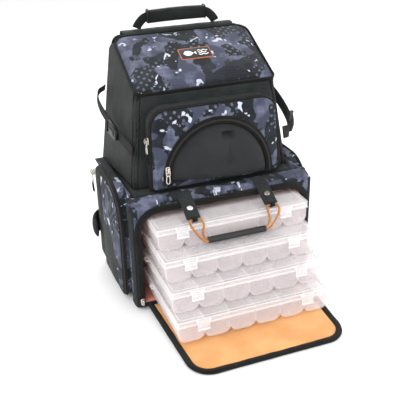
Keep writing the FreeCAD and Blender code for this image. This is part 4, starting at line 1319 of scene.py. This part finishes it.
def hardware(name, place, slider_body, pull_body, slider_node=None, pull_node=None, corded=True):
    """A slider in its own drawing, x across, -y outward and z up the zip, with a link and a cord loop."""
    shield = rounded(symmetric([(4.4, 7), (3.4, -4), (2.4, -7)]), [3, 3, 2, 2, 2, 2])
    body = slab(name + "_slider", shield, lambda u, v, h: place(u, -h, v), 1.4, 4.0, STEEL, slider_body, 0.7)
    rise = curve([(-3.4, 5), (-7, 4.6), (-8.3, 2.5), (-8.3, -2.5), (-7, -4.6), (-3.4, -5)], 1.0)
    bridge = [place(0, y, z) for y, z in rise]
    side = place(1, 0, 0) - place(0, 0, 0)
    sweep(name + "_bridge", bridge, side, flat_section(1.6, 2.6), STEEL, slider_body)
    if pull_body is None:
        return
    ring = rounded(symmetric([(3.4, 2.3), (3.4, -9.5)]), [3.2] * 4)
    front = place(0, -1, 0) - place(0, 0, 0)
    link_off = 5.6
    cord_off = 6.2
    cord_top = -21.5
    line = [place(u, -link_off, v) for u, v in resample(ring, 0.8, True)]
    link = sweep(name + "_link", line, front, round_section(0.85), STEEL, pull_body, closed=True)
    tail = rounded(symmetric([(2.6, -7.8), (3.1, -22.5)]), [2.4, 2.4, 2.9, 2.9])
    line = [place(u, -link_off, v) for u, v in resample(tail, 0.8, True)]
    sweep(name + "_tail", line, front, round_section(1.0), STEEL, pull_body, closed=True)
    if corded:
        loop = rounded(symmetric([(1.6, cord_top), (4.6, -40)]), [1.4, 1.4, 4.2, 4.2])
        line = [place(u, -cord_off - 0.05 * (v - cord_top), v) for u, v in resample(loop, 1.0, True)]
        cord = sweep(name + "_cord", line, front, round_section(1.4), TAPE, pull_body, closed=True)
        if pull_body == "pocket_pull":
            # The pocket pull's cord is a limp loop; it gets a mesh of its own
            at(place(0, -cord_off, cord_top))
            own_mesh(cord)
    if slider_node:
        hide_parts(slider_node)
    if pull_node:
        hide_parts(pull_node)


def facing(turn, place):
    """A drawing's place(x, y, z), turned about the vertical and moved to where it goes on the bag."""
    turned = Matrix.Rotation(math.radians(turn), 3, "Z")
    base = Vector(place)
    return lambda x, y, z: base + turned @ Vector((x, y, z))


def zip_pulls():
    gusset = facing(-90, (-114.3, POCKET_Y + FACE_THICK + 4.8, 296))
    hardware("pocket_zip", lambda x, y, z: leaned(*gusset(x, y, z)), "pocket_slider", "pocket_pull",
             "pocket_slider", "pocket_pull")
    ring = facing(0, (-94, POCKET_Y - 6, 242))
    hardware("dome_zip", lambda x, y, z: on_dome(*ring(x, y, z)), "pocket_panel", "dome_pull", None,
             "dome_pull", corded=False)
    lid_z = rim_z(226.0) - 8
    hardware("lid_zip", facing(90, (side_x(226.0, lid_z) + 1.0, 226.0, lid_z)), "bag", "lid_pull",
             "zip_sliders", "lid_pull")
    hardware("right_zip", facing(90, (SIDE_OUT + SIDE_COVER, 318, 197)), "bag", "right_pull", None,
             "side_pull_right")
    hardware("left_zip", facing(-90, (-SIDE_OUT - SIDE_COVER, 318, 197)), "bag", "left_pull", None,
             "side_pull_left")
    for sign, name in SIDES:
        hardware("bay_%s" % name, facing(0, (sign * (OPENING_HALF + 5), 130, 22)), "bag", None)


# ---------------------------------------------------------------- tray handle

# The same route as the solid model's left pull cord
PULL_CORD = [(-52, 80.9, 148.2), (-60, 81.0, 152), (-60.5, 81.0, 164), (-57.5, 80.8, 176), (-58.5, 93, 182),
             (-80, 93, 182), (-79.5, 80.8, 176), (-72, 78.6, 163), (-63.5, 77.3, 151), (-58, 77.0, 146.8),
             (-52, 77.0, 146.2)]


def pull_handle():
    hang = curve([(150, 208), (141, 204.2), (134, 200.6), (129, 199.8), (115, 192.4), (101, 184.6),
                  (96.5, 182.6)], 2.0)
    for sign, name in SIDES:
        line = [(sign * TAB_X, y, z) for y, z in hang]
        sweep("tab_%s" % name, line, (0, -0.5, 0.87), flat_section(24, 2.9), BLACK, "bag")
        eye = [(sign * TAB_X, 93 + a, 182 + b) for a, b in round_section(3.4, 16)]
        sweep("tab_loop_%s" % name, eye, (1, 0, 0), [(-0.9, -4.4), (0.9, -4.4), (0.9, 4.4), (-0.9, 4.4)],
              TAPE, "bag", closed=True)
        seat = Vector((sign * TAB_X, 114, 193.6))
        up = Vector((0, -0.481, 0.877))
        across = Vector((1, 0, 0))
        over = up.cross(across)
        rings = [(5.6, 0.0), (5.7, 0.8), (5.2, 1.6), (3.6, 2.3), (1.6, 2.6)]
        around = 24
        last = around * (len(rings) - 1)
        verts = [seat + up * h + across * a + over * b
                 for r, h in rings for a, b in round_section(r, around)]
        faces = [(k + i, k + (i + 1) % around, k + around + (i + 1) % around, k + around + i)
                 for k in range(0, last, around) for i in range(around)]
        faces += [tuple(range(around - 1, -1, -1)), tuple(range(last, last + around))]
        snap = add_mesh("snap_%s" % name, verts, faces, CHROME if sign < 0 else DARK_SNAP, "bag")
        if sign < 0:
            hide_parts("tab_snaps")
    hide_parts("handle_tabs")
    orange = cloth_material("cord_braid", (0.62, 0.20, 0.03, 1), (0.90, 0.38, 0.09, 1), 1.5, 0.5, 0.6)
    for sign, name in ((1, "left"), (-1, "right")):
        data = bpy.data.curves.new("cord_" + name, "CURVE")
        data.dimensions = "3D"
        spline = data.splines.new("NURBS")
        spline.points.add(len(PULL_CORD) - 1)
        for point, (x, y, z) in zip(spline.points, PULL_CORD):
            point.co = (*at((sign * x, y, z)), 1)
        spline.order_u = 3
        spline.use_endpoint_u = True
        spline.resolution_u = 12
        data.bevel_depth = 1.75 * MM
        data.bevel_resolution = 4
        data.materials.append(orange)
        cord = bpy.data.objects.new("cord_" + name, data)
        bpy.context.scene.collection.objects.link(cord)
        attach(cord, "pull_grip")
        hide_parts("pull_cord_" + name)
    rubber = plastic_material("grip_rubber", (0.010, 0.010, 0.011, 1), 0.55, 1.2, 0.2)
    ends = [GRIP_HALF, GRIP_HALF - 0.4, GRIP_HALF - 1.2]
    across = [-x for x in ends] + list(np.linspace(3 - GRIP_HALF, GRIP_HALF - 3, 40)) + ends[::-1]
    line = [(x, 79, 147) for x in across]
    scale = [0.86, 0.95, 0.99] + [1.0] * 40 + [0.99, 0.95, 0.86]
    grip = sweep("grip", line, (0, 0, 1), round_section(5.5, 20), rubber, "pull_grip", scale=scale)
    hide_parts("grip_tube")


def tray_looks():
    wall = frosted_material("tray_plastic", (1.0, 0.91, 0.925, 1), 0.13)
    cover = frosted_material("tray_lid_plastic", (1.0, 0.965, 0.975, 1), 0.10)
    hinge = frosted_material("tray_latch_plastic", (1.0, 0.97, 0.98, 1), 0.16)
    for number in (1, 2, 3, 4):
        for part, material in (("base", wall), ("lid", cover), ("dividers", wall), ("latches", hinge)):
            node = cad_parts["tray%d_%s" % (number, part)]
            node.data.materials.clear()
            node.data.materials.append(material)


upper_shell()
lid()
badge()
front_pocket()
dome()
front_frame()
bay()
lower_sides()
side_pockets()
flap()
haul_handle()
back_panel()
hip_wings()
harness()
side_straps()
zip_pulls()
pull_handle()
tray_looks()
